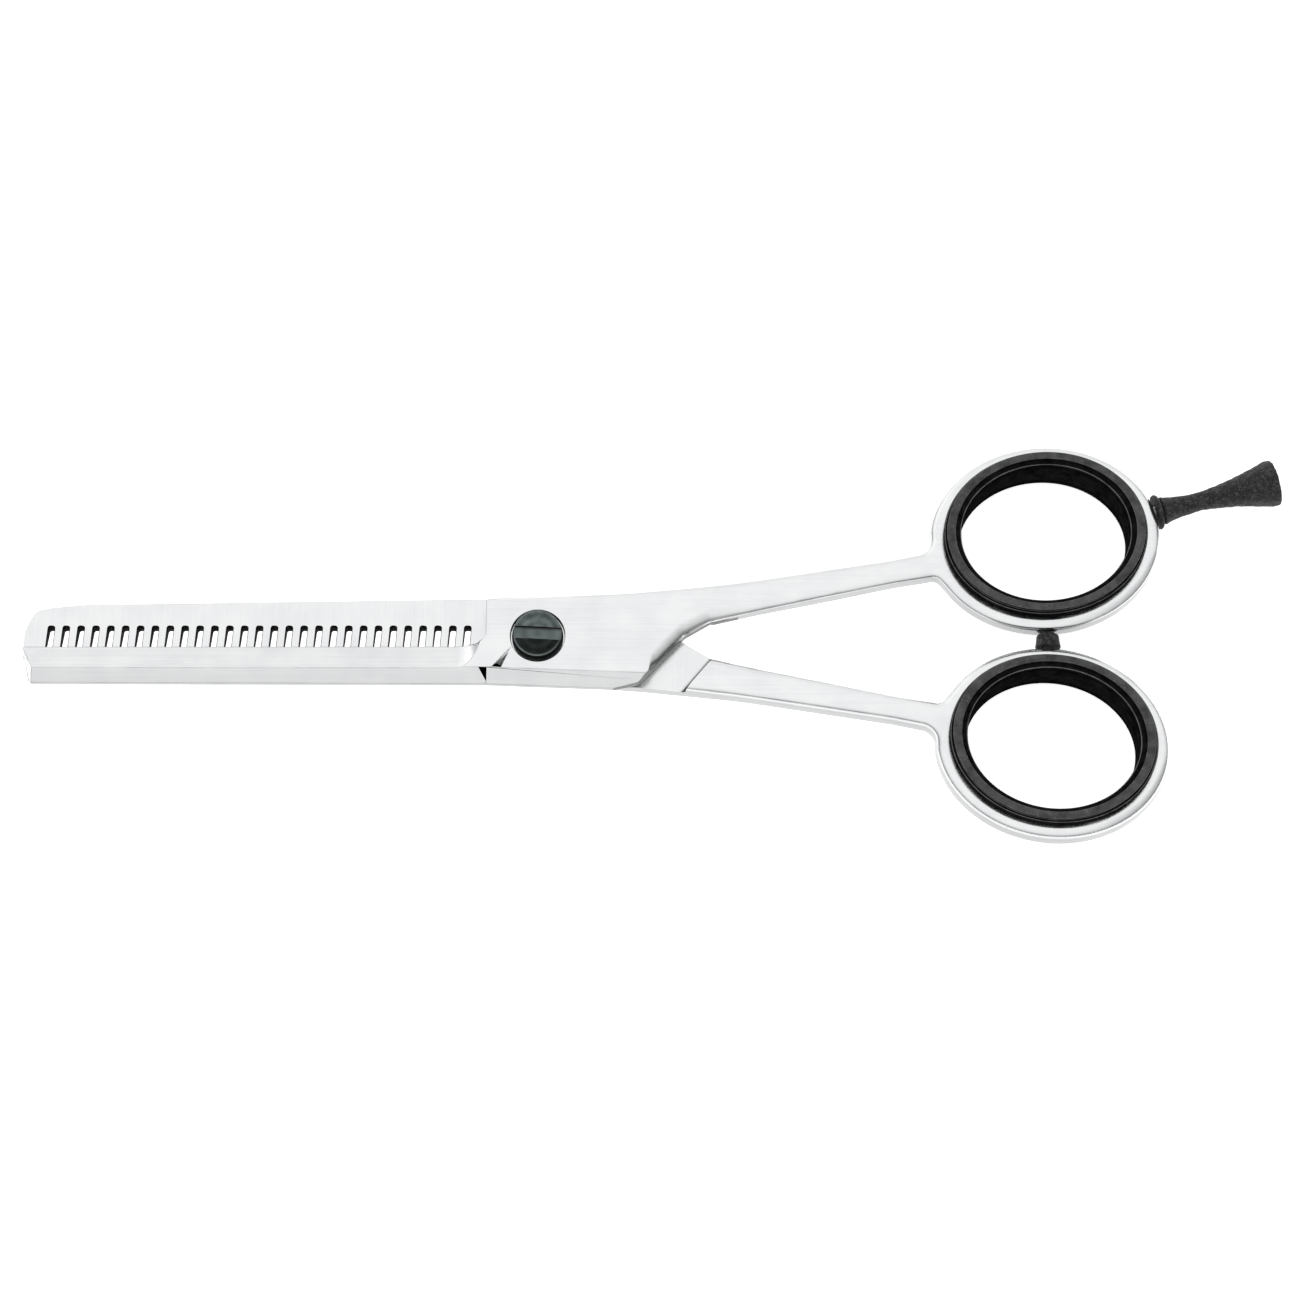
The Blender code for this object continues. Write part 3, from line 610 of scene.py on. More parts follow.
def halves_painted_shade(face):
    """How much painted shade a face of a half gets: upright faces a little, and the corners behind
    others most.
    """
    x, y, z = face.center
    level = abs(face.normal.z)
    upright = min(max((0.72 - level) / 0.55, 0.0), 1.0)
    (x1, y1), (x2, y2) = STEP_LINE
    across = Vector((y2 - y1, x1 - x2, 0.0)).normalized()
    from_step = abs((face.center - Vector((x1, y1, 0.0))).dot(across))
    along = Vector((x2 - x1, y2 - y1, 0.0)).normalized()
    faces_step = abs(face.normal.dot(along)) < 0.15
    # Painted shade in the hollow at the step, deepest on its steepest faces.
    if from_step < STEP_HOLLOW and -0.98 * HANDLE_Z < z < FACE_Z and faces_step and level < 0.985:
        return min(0.15 + 2.4 * (1.0 - level), 1.0)
    # A painted shadow line along the shoulder and along the cutting edge.
    on_shoulder = abs(x - SHOULDER_X) < 0.0005 and level < 0.9 and y > CUTTING_EDGE_Y
    on_cutting_edge = x < SHOULDER_X and abs(y - CUTTING_EDGE_Y) < 0.0002 and level < 0.97
    if on_shoulder or on_cutting_edge:
        return 1.0
    # More painted shade on upright faces where the other half lies close, and round the pivot.
    near_other_half = 0.008 < x < 0.0275 and y < 0.0045
    round_pivot = math.hypot(x, y) < TENSION_WASHER_R + 0.0008
    if near_other_half or round_pivot:
        return upright if level < 0.35 else 0.35 * upright
    # Elsewhere, upright faces get a little painted shade.
    return 0.6 * upright


def painted_shade_and_highlight(piece, rule):
    """Stores each face's painted light: from -1, a painted highlight, to 1, painted shade in a corner.
    """
    values = piece.data.attributes.new("painted_shade_and_highlight", "FLOAT", "FACE")
    for face in piece.data.polygons:
        values.data[face.index].value = rule(face)


def finish_half(half):
    """Breaks the edges, and tells the ground, slotted and upright faces from the brushed ones; the
    edge faces and slot walls get painted shade, and upright faces and corners store painted shade.
    """
    wear(half, BRUSHED_STEEL, GROUND_STEEL, SLOT_PAINTED_SHADE, EDGE_STEEL_PAINTED_SHADE)
    finish_faces(half, 1, lambda face: abs(face.center.z - FACE_Z) < 0.00002)
    break_edges(half, EDGE_BREAK)
    if half.name.startswith("comb"):
        # The slot walls are painted near black as shade.
        finish_faces(half, 2, in_slot)
    # Painted shade on upright faces, in corners and along contact lines.
    painted_shade_and_highlight(half, halves_painted_shade)
    smooth(half)
    flatten_shading(half)


def make_plain_half():
    tip_corner = (TIP_X, CUTTING_EDGE_Y)
    root_corner = (SHOULDER_X, CUTTING_EDGE_Y)
    outline = [
        (SHOULDER_X + 0.002, SPINE_SHOULDER_Y + 0.0008),
        (SHOULDER_X - 0.0004, SPINE_SHOULDER_Y),
    ]
    outline += smooth_line(
        [
            (TIP_X + 0.0015, PLAIN_SPINE_TIP_Y),
            (TIP_X + 0.0006, PLAIN_SPINE_TIP_Y + 0.0012),
            (TIP_X, CUTTING_EDGE_Y - 0.0015),
        ],
        5,
    )
    outline.append(tip_corner)
    outline += fillet(tip_corner, root_corner, (SHOULDER_X, SHOULDER_Y), 0.0014, 10)
    outline += [(SHOULDER_X + 0.002, 0.0006)]
    blade = ground_blade("plain blade", outline, PLAIN_SPINE_TIP_Y)
    carve(blade, front_grind())
    half = forged_handle("plain half")
    stud_bore = round_cutter("stud bore", STUD_R + GAP, -STUD_IN_RING - GAP, 0.002, 48)
    set_down(stud_bore, rest_frame() @ Matrix.Rotation(math.radians(2.0), 4, "Z"))
    carve(
        half,
        round_cutter("screw bore", SCREW_R + GAP, -0.01, 0.01),
        round_cutter("head recess", TENSION_WASHER_R + GAP, RECESS_FLOOR_Z, 0.01),
        stud_bore,
    )
    combine(half, blade, "UNION")
    finish_half(half)
    set_down(half, RAISED)
    hand_over(half, "plain_half_steel", "plain_side", "blade_steel", "plain_half")
    return half


def make_comb_half():
    """Made with its outside up, like the plain half, and turned over when it is done."""
    outline = [
        (SHOULDER_X + 0.002, SPINE_SHOULDER_Y + 0.0008),
        (SHOULDER_X - 0.0004, SPINE_SHOULDER_Y + 0.0001),
    ]
    outline += smooth_line(
        [
            (TIP_X + 0.0090, COMB_SPINE_TIP_Y),
            (TIP_X + 0.0026, COMB_SPINE_TIP_Y + 0.0007),
            (TIP_X + 0.0009, COMB_SPINE_TIP_Y + 0.0021),
            (TIP_X, COMB_SPINE_TIP_Y + 0.0045),
        ],
        6,
    )
    outline += [
        (TIP_X, TOOTH_TIP_Y),
        (SHOULDER_X, TOOTH_TIP_Y),
        (SHOULDER_X + 0.002, TOOTH_TIP_Y - 0.0005),
    ]
    comb = ground_blade("comb blade", outline, COMB_SPINE_TIP_Y)
    slice_off(comb, (SHOULDER_X, TOOTH_TIP_Y), (TIP_X, TOOTH_TIP_Y), TOOTH_TIP_LAND, TOOTH_SLOPE)
    carve(comb, comb_slots())
    half = forged_handle("comb half")
    combine(half, comb, "UNION")
    stem_bore = round_cutter("stem bore", BUMPER_STEM_R + GAP, -0.002, BUMPER_STEM_DEPTH, 48)
    place = Matrix.Translation((RING_CENTRE.x, ring_bottom_y(), 0.0))
    turn = Matrix.Rotation(-math.pi / 2.0, 4, "X") @ Matrix.Rotation(math.radians(2.0), 4, "Z")
    set_down(stem_bore, place @ turn)
    carve(
        half,
        round_cutter("barrel bore", NUT_BARREL_R + GAP, -0.01, 0.01),
        round_cutter("glide recess", GLIDE_WASHER_R + GAP, -0.01, -GLIDE_FLOOR_Z),
        stem_bore,
    )
    finish_half(half)
    set_down(half, TURNED_OVER)
    hand_over(half, "comb_half_steel", "comb_side", "blade_steel", "comb_half")
    return half


# The pivot stack.


def thread(radius, start, end, depth):
    """Rounded thread turns from start to end along a profile."""
    turns = max(int(abs(end - start) / THREAD_PITCH), 1)
    step = (end - start) / turns
    line = []
    for i in range(turns):
        base = start + step * i
        line += [(radius, base + step * 0.1), (radius - depth, base + step * 0.5)]
        line += [(radius, base + step * 0.9)]
    return line


def make_pivot_screw():
    head_bottom = HEAD_TOP_Z - HEAD_THICKNESS
    crown = 0.00012
    profile = [(0.0, HEAD_TOP_Z)]
    for i in range(1, 7):
        share = i / 6.0
        profile.append(((HEAD_R - 0.0004) * share, HEAD_TOP_Z - crown * share * share))
    profile += fillet(profile[-1], (HEAD_R, HEAD_TOP_Z - crown), (HEAD_R, head_bottom), 0.00028, 5)
    profile += fillet((HEAD_R, HEAD_TOP_Z), (HEAD_R, head_bottom), (0.0, head_bottom), 0.00012, 3)
    profile += [(SCREW_R + 0.0002, head_bottom), (SCREW_R, head_bottom - 0.0002)]
    profile += thread(SCREW_R, -0.0006, SCREW_END_Z + 0.0004, 0.0002)
    profile += [(SCREW_R - 0.00035, SCREW_END_Z), (0.0, SCREW_END_Z)]
    screw = turned("pivot screw", profile, ROUND_SIDES)
    turn = Matrix.Rotation(SCREW_SLOT_TURN, 4, "Z")
    slot = block(
        "driver slot",
        (3.0 * HEAD_R, SCREW_SLOT_WIDTH, 2.0 * SCREW_SLOT_DEPTH),
        turn @ Matrix.Translation((0.0, 0.0, HEAD_TOP_Z)),
    )
    carve(screw, slot)
    wear(screw, DARK_STEEL, MILLED_STEEL, BLACKENED_STEEL_PAINTED_SHADE, SLOT_PAINTED_SHADE, RIM_PAINTED_HIGHLIGHT)
    break_edges(screw, 0.00006, 40.0)
    floor_z = HEAD_TOP_Z - SCREW_SLOT_DEPTH
    upright = (turn.to_3x3() @ Vector((0.0, 1.0, 0.0))).normalized()
    finish_faces(screw, 1, lambda face: abs(face.center.z - floor_z) < 0.00003 and face.normal.z > 0.9)
    # The lower half of the head's top gets the darker copy, painted shade.
    finish_faces(screw, 2, lambda face: face.normal.z > 0.95 and face.center.dot(upright) < -0.0009)
    # The slot walls and the head's upright side are painted black as shade.
    finish_faces(screw, 3, lambda face: face.center.z > floor_z - 0.0004 and abs(face.normal.z) < 0.45)
    smooth(screw)
    flatten_shading(screw)
    set_down(screw, RAISED)
    hand_over(screw, "tension_screw_turned", "tension_screw", "screw_steel", "pivot_screw")


def make_tension_washer():
    """A dished spring washer: its hole stands higher than its rim."""
    low = TENSION_LOW.z - MATE_Z
    high = TENSION_HIGH.z - MATE_Z
    sheet = 0.0003
    inner = SCREW_R + GAP
    corners = [
        (inner, high, 0.00008),
        (inner, high - sheet, 0.00008),
        (TENSION_WASHER_R, low, 0.00008),
        (TENSION_WASHER_R, low + sheet, 0.00008),
    ]
    washer = turned("tension washer", rounded_profile(corners), ROUND_SIDES)
    wear(washer, SPRING_STEEL)
    smooth(washer)
    set_down(washer, RAISED)
    hand_over(washer, "spring_washer", "plain_side", "spring_steel", "tension_washer")


def make_glide_washer():
    """A nylon washer with shallow grease grooves on both faces."""
    low = GLIDE_LOW.z - MATE_Z
    high = GLIDE_HIGH.z - MATE_Z
    inner = SCREW_R + GAP
    middle = (inner + GLIDE_WASHER_R) / 2.0
    groove = 0.00012
    corners = [
        (inner, high, 0.00008),
        (inner, low, 0.00008),
        (middle - 0.0003, low, 0.0),
        (middle, low + groove, 0.0),
        (middle + 0.0003, low, 0.0),
        (GLIDE_WASHER_R, low, 0.00008),
        (GLIDE_WASHER_R, high, 0.00008),
        (middle + 0.0003, high, 0.0),
        (middle, high - groove, 0.0),
        (middle - 0.0003, high, 0.0),
    ]
    washer = turned("glide washer", rounded_profile(corners), ROUND_SIDES)
    wear(washer, NYLON)
    smooth(washer)
    set_down(washer, RAISED)
    hand_over(washer, "nylon_glide_washer", "comb_side", "nylon", "glide_washer")


def make_pivot_nut():
    """A flanged barrel nut, turned in one, with two spanner holes in its back."""
    barrel_top = NUT_HIGH.z - MATE_Z
    back = NUT_LOW.z - MATE_Z
    bore = SCREW_R + GAP
    profile = rounded_profile(
        [
            (bore, barrel_top, 0.0001),
            (NUT_BARREL_R, barrel_top, 0.0002),
            (NUT_BARREL_R, NUT_FLANGE_TOP_Z, 0.00015),
            (NUT_FLANGE_R, NUT_FLANGE_TOP_Z, 0.00015),
            (NUT_FLANGE_R, back, 0.00035),
            (NUT_FLANGE_R - 0.0009, back, 0.0),
            (NUT_FLANGE_R - 0.00105, back + 0.00012, 0.0),
            (NUT_FLANGE_R - 0.0012, back, 0.0),
            (0.0, back, 0.0),
            (0.0, back + NUT_FLOOR, 0.0),
            (bore, back + NUT_FLOOR, 0.0),
        ]
    )
    nut = turned("pivot nut", profile, ROUND_SIDES)
    for side in (-1.0, 1.0):
        hole = round_cutter("spanner hole", 0.0005, back - 0.001, back + 0.0003)
        set_down(hole, Matrix.Translation((side * 0.0022, 0.0, 0.0)))
        carve(nut, hole)
    wear(nut, TURNED_STEEL)
    break_edges(nut, 0.00005, 40.0)
    smooth(nut)
    flatten_shading(nut)
    set_down(nut, RAISED)
    hand_over(nut, "barrel_nut", "comb_side", "nut_steel", "pivot_nut")


# Rubber pieces.


def insert_painted_shade_and_highlight(face):
    """The lip's flat is plain, its edges and the hole's edge get a painted highlight, and the rest is
    darkened as painted shade.
    """
    from_crest = INSERT_Z - abs(face.center.z - MATE_Z)
    level = abs(face.normal.z)
    if from_crest < 0.00002:
        return 0.0
    if from_crest < 0.0001 or (0.00069 < from_crest < 0.0009 and 0.3 < level < 0.98):
        return -0.8
    return 1.0


def make_insert(name, node, body, place):
    """A two-lipped sleeve, with a bead round each lip and steps down into the finger hole."""
    lip_z = HANDLE_Z + GAP
    body_r = RING_HOLE_R - GAP / RING_OVAL
    crest = INSERT_Z
    upper = [
        (body_r, lip_z, 0.0001),
        (INSERT_LIP_R - 0.0001, lip_z, 0.0001),
        (INSERT_LIP_R, lip_z + 0.0003, 0.0001),
        (INSERT_LIP_R, crest - 0.0009, 0.00025),
        (INSERT_LIP_R - 0.0006, crest - 0.0008, 0.00008),
        (INSERT_LIP_R - 0.0004, crest - 0.0003, 0.00012),
        (INSERT_LIP_R - 0.00042, crest, 0.00015),
        (FINGER_HOLE_R + 0.0009, crest, 0.00018),
        (FINGER_HOLE_R + 0.00085, crest - 0.0006, 0.0001),
        (FINGER_HOLE_R + 0.0001, crest - 0.0007, 0.00014),
        (FINGER_HOLE_R, crest - 0.0013, 0.0001),
        (FINGER_HOLE_R + 0.0005, crest - 0.0014, 0.0001),
        (FINGER_HOLE_R + 0.0005, crest - 0.0020, 0.0001),
        (FINGER_HOLE_R, crest - 0.0021, 0.0001),
    ]
    corners = upper + [(radius, -z, rounding) for radius, z, rounding in upper[::-1]]
    insert = turned(name, rounded_profile(corners, 3), RING_SIDES, RING_OVAL)
    centre = Matrix.Translation(RING_CENTRE) @ Matrix.Rotation(RING_TILT, 4, "Z")
    set_down(insert, place @ centre)
    wear(insert, RING_RUBBER)
    # Painted shade on the walls and painted highlights on the lip and hole edges.
    painted_shade_and_highlight(insert, insert_painted_shade_and_highlight)
    smooth(insert, 40.0)
    hand_over(insert, name, body, "ring_rubber", node)


def roughen(piece, size, amount):
    """Moves the surface in and out a little, as on a hand-finished moulding."""
    moves = []
    for vert in piece.data.vertices:
        push = noise.noise(vert.co / size) + 0.5 * noise.noise(vert.co / (size * 0.4))
        moves.append(vert.normal * push * amount)
    for vert, move in zip(piece.data.vertices, moves):
        vert.co += move


def make_bumper():
    """A barrel-shaped buffer on a stem, standing on the lower ring."""
    height = 2.0 * ring_bottom_y() - 2.0 * GAP
    stem_end = -(BUMPER_HIGH.y - BUMPER_LOW.y - height)
    corners = [
        (0.0, height, 0.0),
        (BUMPER_R - 0.0003, height - 0.00004, 0.0004),
        (BUMPER_R - 0.0002, height * 0.5, 0.0006),
        (BUMPER_R, 0.0, 0.00025),
        (BUMPER_STEM_R, 0.0, 0.0001),
        (BUMPER_STEM_R, stem_end, 0.0002),
        (0.0, stem_end, 0.0),
    ]
    bumper = turned("bumper", rounded_profile(corners, 5), 96)
    place = Matrix.Translation((RING_CENTRE.x, ring_bottom_y() - GAP, 0.0))
    set_down(bumper, TURNED_OVER @ place @ Matrix.Rotation(math.pi / 2.0, 4, "X"))
    wear(bumper, BUMPER_RUBBER)
    smooth(bumper, 40.0)
    hand_over(bumper, "ring_bumper", "comb_side", "bumper_rubber", "bumper")


def make_finger_rest():
    """The rest, its collar and its stud, turned on one axis that leaves the upper ring."""
    place = RAISED @ rest_frame()
    collar_corners = [
        (STUD_R + GAP, GAP, 0.0001),
        (REST_FLANGE_R - 0.0002, GAP, 0.0001),
        (REST_FLANGE_R, GAP + REST_FLANGE_THICKNESS * 0.5, 0.00025),
        (REST_FLANGE_R - 0.00025, GAP + REST_FLANGE_THICKNESS, 0.0002),
        (STUD_R + GAP, GAP + REST_FLANGE_THICKNESS, 0.0001),
    ]
    collar = turned("rest collar", rounded_profile(collar_corners, 5), 80)
    wear(collar, REST_RUBBER)
    smooth(collar, 40.0)
    set_down(collar, place)
    hand_over(collar, "rest_collar", "rest_seat", "rest_rubber", "finger_rest_washer")

    base = 2.0 * GAP + REST_FLANGE_THICKNESS
    bore_end = base + STUD_IN_REST + GAP
    sweep = [(REST_BASE_R, base + 0.0002)]
    neck = smooth_line(
        [
            (REST_BASE_R, base + 0.0003),
            (REST_BASE_R * 0.9, base + 0.001),
            (REST_BASE_R * 0.76, base + 0.0027),
            (REST_WAIST_R, base + REST_WAIST_AT),
        ],
        12,
    )
    sweep += neck
    steps = 80
    for i in range(1, steps + 1):
        t = i / steps
        z = base + REST_WAIST_AT + (REST_LENGTH - REST_WAIST_AT - 0.001) * t
        sweep.append((REST_WAIST_R + (REST_END_R - REST_WAIST_R) * t**1.6, z))
    top = base + REST_LENGTH
    sweep += fillet(sweep[-1], (REST_END_R, top - 0.0001), (0.0, top + 0.0001), 0.00015, 4)
    sweep += [(REST_END_R * 0.6, top - 0.0001), (REST_END_R * 0.3, top - 0.0003), (0.0, top - 0.00035)]
    bore = [(0.0, bore_end), (STUD_R + GAP, bore_end), (STUD_R + GAP, base)]
    bore += [(REST_BASE_R - 0.0002, base)]
    rest = turned("finger rest", sweep + bore, 160)
    roughen(rest, 0.0008, 0.00007)
    wear(rest, REST_RUBBER)
    smooth(rest, 40.0)
    set_down(rest, place)
    hand_over(rest, "finger_rest_rubber", "rest", "rest_rubber", "finger_rest")

    far_end = base + STUD_IN_REST
    profile = [(0.0, far_end), (STUD_R - 0.0002, far_end)]
    profile += thread(STUD_R, far_end - 0.0002, -STUD_IN_RING + 0.0002, 0.00014)
    profile += [(STUD_R - 0.0002, -STUD_IN_RING), (0.0, -STUD_IN_RING)]
    stud = turned("rest stud", profile, 48)
    wear(stud, STUD_STEEL)
    smooth(stud, 20.0)
    set_down(stud, place)
    hand_over(stud, "rest_stud", "rest", "stud_steel", "finger_rest_stud")


# Finishes.


def new_finish(name, color, roughness, metallic):
    finish = bpy.data.materials.new(name)
    finish.use_nodes = True
    shader = finish.node_tree.nodes["Principled BSDF"]
    shader.inputs["Base Color"].default_value = (*color, 1.0)
    shader.inputs["Roughness"].default_value = roughness
    shader.inputs["Metallic"].default_value = metallic
    return finish


def add_node(finish, kind, settings=(), inputs=()):
    node = finish.node_tree.nodes.new(kind)
    for name, value in dict(settings).items():
        setattr(node, name, value)
    for name, value in dict(inputs).items():
        node.inputs[name].default_value = value
    return node


def connect(finish, output, target):
    finish.node_tree.links.new(output, target)


def grain(finish, stretch, detail=4.0, rough=0.55, turn=0.0):
    """Noise in the piece's own place, stretched along its axes. Returns its height output."""
    where = add_node(finish, "ShaderNodeTexCoord")
    mapping = add_node(finish, "ShaderNodeMapping")
    mapping.inputs["Scale"].default_value = stretch
    mapping.inputs["Rotation"].default_value = (0.0, 0.0, turn)
    pattern = add_node(
        finish, "ShaderNodeTexNoise", inputs={"Scale": 1.0, "Detail": detail, "Roughness": rough}
    )
    connect(finish, where.outputs["Object"], mapping.inputs["Vector"])
    connect(finish, mapping.outputs["Vector"], pattern.inputs["Vector"])
    return pattern.outputs["Fac"]


def spread(finish, value, low, high, start=0.3, end=0.7):
    """Maps a pattern onto the range from low to high."""
    node = add_node(
        finish,
        "ShaderNodeMapRange",
        inputs={"From Min": start, "From Max": end, "To Min": low, "To Max": high},
    )
    connect(finish, value, node.inputs["Value"])
    return node.outputs["Result"]


def blend_colors(finish, value, dark, light, start=0.3, end=0.7):
    ramp = add_node(finish, "ShaderNodeValToRGB")
    ramp.color_ramp.elements[0].position = start
    ramp.color_ramp.elements[0].color = (*dark, 1.0)
    ramp.color_ramp.elements[1].position = end
    ramp.color_ramp.elements[1].color = (*light, 1.0)
    connect(finish, value, ramp.inputs["Fac"])
    return ramp.outputs["Color"]


def add_values(finish, first, second, share):
    """First plus a share of second."""
    node = add_node(finish, "ShaderNodeMath", {"operation": "MULTIPLY_ADD"})
    node.inputs[1].default_value = share
    connect(finish, second, node.inputs[0])
    connect(finish, first, node.inputs[2])
    return node.outputs["Value"]


def raise_surface(finish, height, distance, strength=1.0):
    shader = finish.node_tree.nodes["Principled BSDF"]
    bump = add_node(
        finish, "ShaderNodeBump", inputs={"Strength": strength, "Distance": distance}
    )
    connect(finish, height, bump.inputs["Height"])
    connect(finish, bump.outputs["Normal"], shader.inputs["Normal"])


def rings_round_z(finish, spacing, distortion=0.4):
    """Fine turning marks: rings round the Z axis."""
    where = add_node(finish, "ShaderNodeTexCoord")
    marks = add_node(
        finish,
        "ShaderNodeTexWave",
        {"wave_type": "RINGS", "rings_direction": "Z"},
        {"Scale": 0.05 / spacing, "Distortion": distortion, "Detail": 2.0},
    )
    connect(finish, where.outputs["Object"], marks.inputs["Vector"])
    return marks.outputs["Fac"]


def scale_by_painted_light(finish, color, least):
    """Scales a color by the painted light attribute: down to the least share where shade is painted,
    up where a highlight is painted.
    """
    mark = add_node(finish, "ShaderNodeAttribute", {"attribute_name": "painted_shade_and_highlight"})
    share = spread(finish, mark.outputs["Fac"], 2.0 - least, least, -1.0, 1.0)
    mix = add_node(finish, "ShaderNodeVectorMath", {"operation": "SCALE"})
    connect(finish, color, mix.inputs[0])
    connect(finish, share, mix.inputs["Scale"])
    return mix.outputs["Vector"]


def steel(name, dark, light, roughness, stretch, depth, turn=0.0):
    """Bright steel with grinding marks, clouded by handling, and a few longer scratches."""
    finish = new_finish(name, light, sum(roughness) / 2.0, 1.0)
    shader = finish.node_tree.nodes["Principled BSDF"]
    brush = grain(finish, stretch, 5.0, 0.6, turn)
    clouds = grain(finish, (170.0, 170.0, 170.0), 3.0)
    fine_scratch = [value * 0.35 for value in stretch]
    scratches = grain(finish, fine_scratch, 2.0, 0.5, turn + 0.12)
    mixed = add_values(finish, clouds, brush, 0.6)
    color = blend_colors(finish, mixed, dark, light, 0.55, 0.95)
    # The colour is scaled by the painted shade stored on each face.
    connect(finish, scale_by_painted_light(finish, color, 0.12), shader.inputs["Base Color"])
    rubbed = add_values(finish, mixed, scratches, 0.35)
    connect(finish, spread(finish, rubbed, *roughness, 0.7, 1.2), shader.inputs["Roughness"])
    raise_surface(finish, add_values(finish, brush, scratches, 0.8), depth)
    return finish


def turned_steel(name, dark, light, roughness, spacing, depth):
    """Lathe-turned steel, with rings round the pivot axis and a light clouding."""
    finish = new_finish(name, light, sum(roughness) / 2.0, 1.0)
    shader = finish.node_tree.nodes["Principled BSDF"]
    marks = rings_round_z(finish, spacing)
    clouds = grain(finish, (700.0, 700.0, 700.0), 4.0)
    mixed = add_values(finish, clouds, marks, 0.3)
    connect(finish, blend_colors(finish, mixed, dark, light, 0.4, 0.95), shader.inputs["Base Color"])
    connect(finish, spread(finish, mixed, *roughness, 0.4, 0.95), shader.inputs["Roughness"])
    raise_surface(finish, marks, depth)
    return finish


def rubber(name, dark, light, roughness, size, depth, glint_share=0.3, shine=0.35, start=0.34):
    """Dull moulded rubber: mottled, with fine grain and pale specks painted in as glints."""
    finish = new_finish(name, light, sum(roughness) / 2.0, 0.0)
    shader = finish.node_tree.nodes["Principled BSDF"]
    # The sheen follows the painted light: none on painted-shade faces, twice as much on
    # painted-highlight edges.
    mark = add_node(finish, "ShaderNodeAttribute", {"attribute_name": "painted_shade_and_highlight"})
    sheen = spread(finish, mark.outputs["Fac"], 2.0 * shine, 0.0, -1.0, 1.0)
    connect(finish, sheen, shader.inputs["Specular IOR Level"])
    scale = 1.0 / size
    mottle = grain(finish, (scale, scale, scale), 5.0, 0.62)
    pores = grain(finish, (scale * 5.0,) * 3, 3.0, 0.6)
    # Pale specks painted in the colour as glints.
    painted_glints = spread(finish, pores, 0.0, 1.0, 0.58, 0.70)
    tone = add_values(finish, mottle, painted_glints, glint_share)
    color = blend_colors(finish, tone, dark, light, start, start + 0.52)
    # The colour is scaled by the painted shade and highlights stored on each face.
    connect(finish, scale_by_painted_light(finish, color, 0.15), shader.inputs["Base Color"])
    connect(finish, spread(finish, mottle, *roughness), shader.inputs["Roughness"])
    raise_surface(finish, add_values(finish, mottle, pores, 0.6), depth)
    return finish


def nylon(name):
    finish = new_finish(name, (0.86, 0.86, 0.83), 0.45, 0.0)
    shader = finish.node_tree.nodes["Principled BSDF"]
    clouds = grain(finish, (900.0, 900.0, 900.0), 4.0)
    tone = blend_colors(finish, clouds, (0.78, 0.78, 0.74), (0.88, 0.88, 0.86))
    connect(finish, tone, shader.inputs["Base Color"])
    connect(finish, spread(finish, clouds, 0.38, 0.55), shader.inputs["Roughness"])
    raise_surface(finish, clouds, 0.00001)
    return finish


BRUSHED_STEEL = steel(
    "brushed_steel",
    (0.80, 0.81, 0.82),
    (0.89, 0.895, 0.90),
    (0.15, 0.27),
    (55.0, 2600.0, 2600.0),
    0.000003,
)
GROUND_STEEL = steel(
    "ground_steel",
    (0.81, 0.82, 0.83),
    (0.885, 0.89, 0.895),
    (0.18, 0.30),
    (3200.0, 90.0, 3200.0),
    0.000003,
)
# Darker steel for the narrow edge faces of the halves: painted shade along the edges.
EDGE_STEEL_PAINTED_SHADE = steel(
    "edge_steel_painted_shade",
    (0.52, 0.525, 0.53),
    (0.74, 0.745, 0.75),
    (0.18, 0.28),
    (400.0, 400.0, 400.0),
    0.000002,
)
DARK_STEEL = turned_steel(
    "blackened_steel",
    (0.055, 0.068, 0.068),
    (0.170, 0.200, 0.196),
    (0.16, 0.30),
    0.00022,
    0.000004,
)
# A darker copy of the blackened steel for the lower half of the screw head: painted shade.
BLACKENED_STEEL_PAINTED_SHADE = turned_steel(
    "blackened_steel_painted_shade",
    (0.008, 0.010, 0.010),
    (0.026, 0.032, 0.030),
    (0.20, 0.34),
    0.00022,
    0.000004,
)
# A lighter steel for the screw head's broken edges: a painted highlight.
RIM_PAINTED_HIGHLIGHT = turned_steel(
    "rim_painted_highlight",
    (0.09, 0.10, 0.10),
    (0.17, 0.185, 0.185),
    (0.16, 0.28),
    0.00022,
    0.000003,
)
MILLED_STEEL = turned_steel(
    "milled_slot",
    (0.085, 0.10, 0.10),
    (0.15, 0.175, 0.175),
    (0.25, 0.40),
    0.00030,
    0.000006,
)
SPRING_STEEL = turned_steel(
    "spring_steel",
    (0.010, 0.011, 0.012),
    (0.035, 0.037, 0.038),
    (0.25, 0.40),
    0.00018,
    0.000004,
)
TURNED_STEEL = turned_steel(
    "turned_steel",
    (0.66, 0.67, 0.68),
    (0.82, 0.83, 0.84),
    (0.14, 0.28),
    0.00025,
    0.000005,
)
STUD_STEEL = turned_steel(
    "zinc_stud",
    (0.50, 0.51, 0.50),
    (0.68, 0.69, 0.68),
    (0.25, 0.40),
    0.00020,
    0.000005,
)
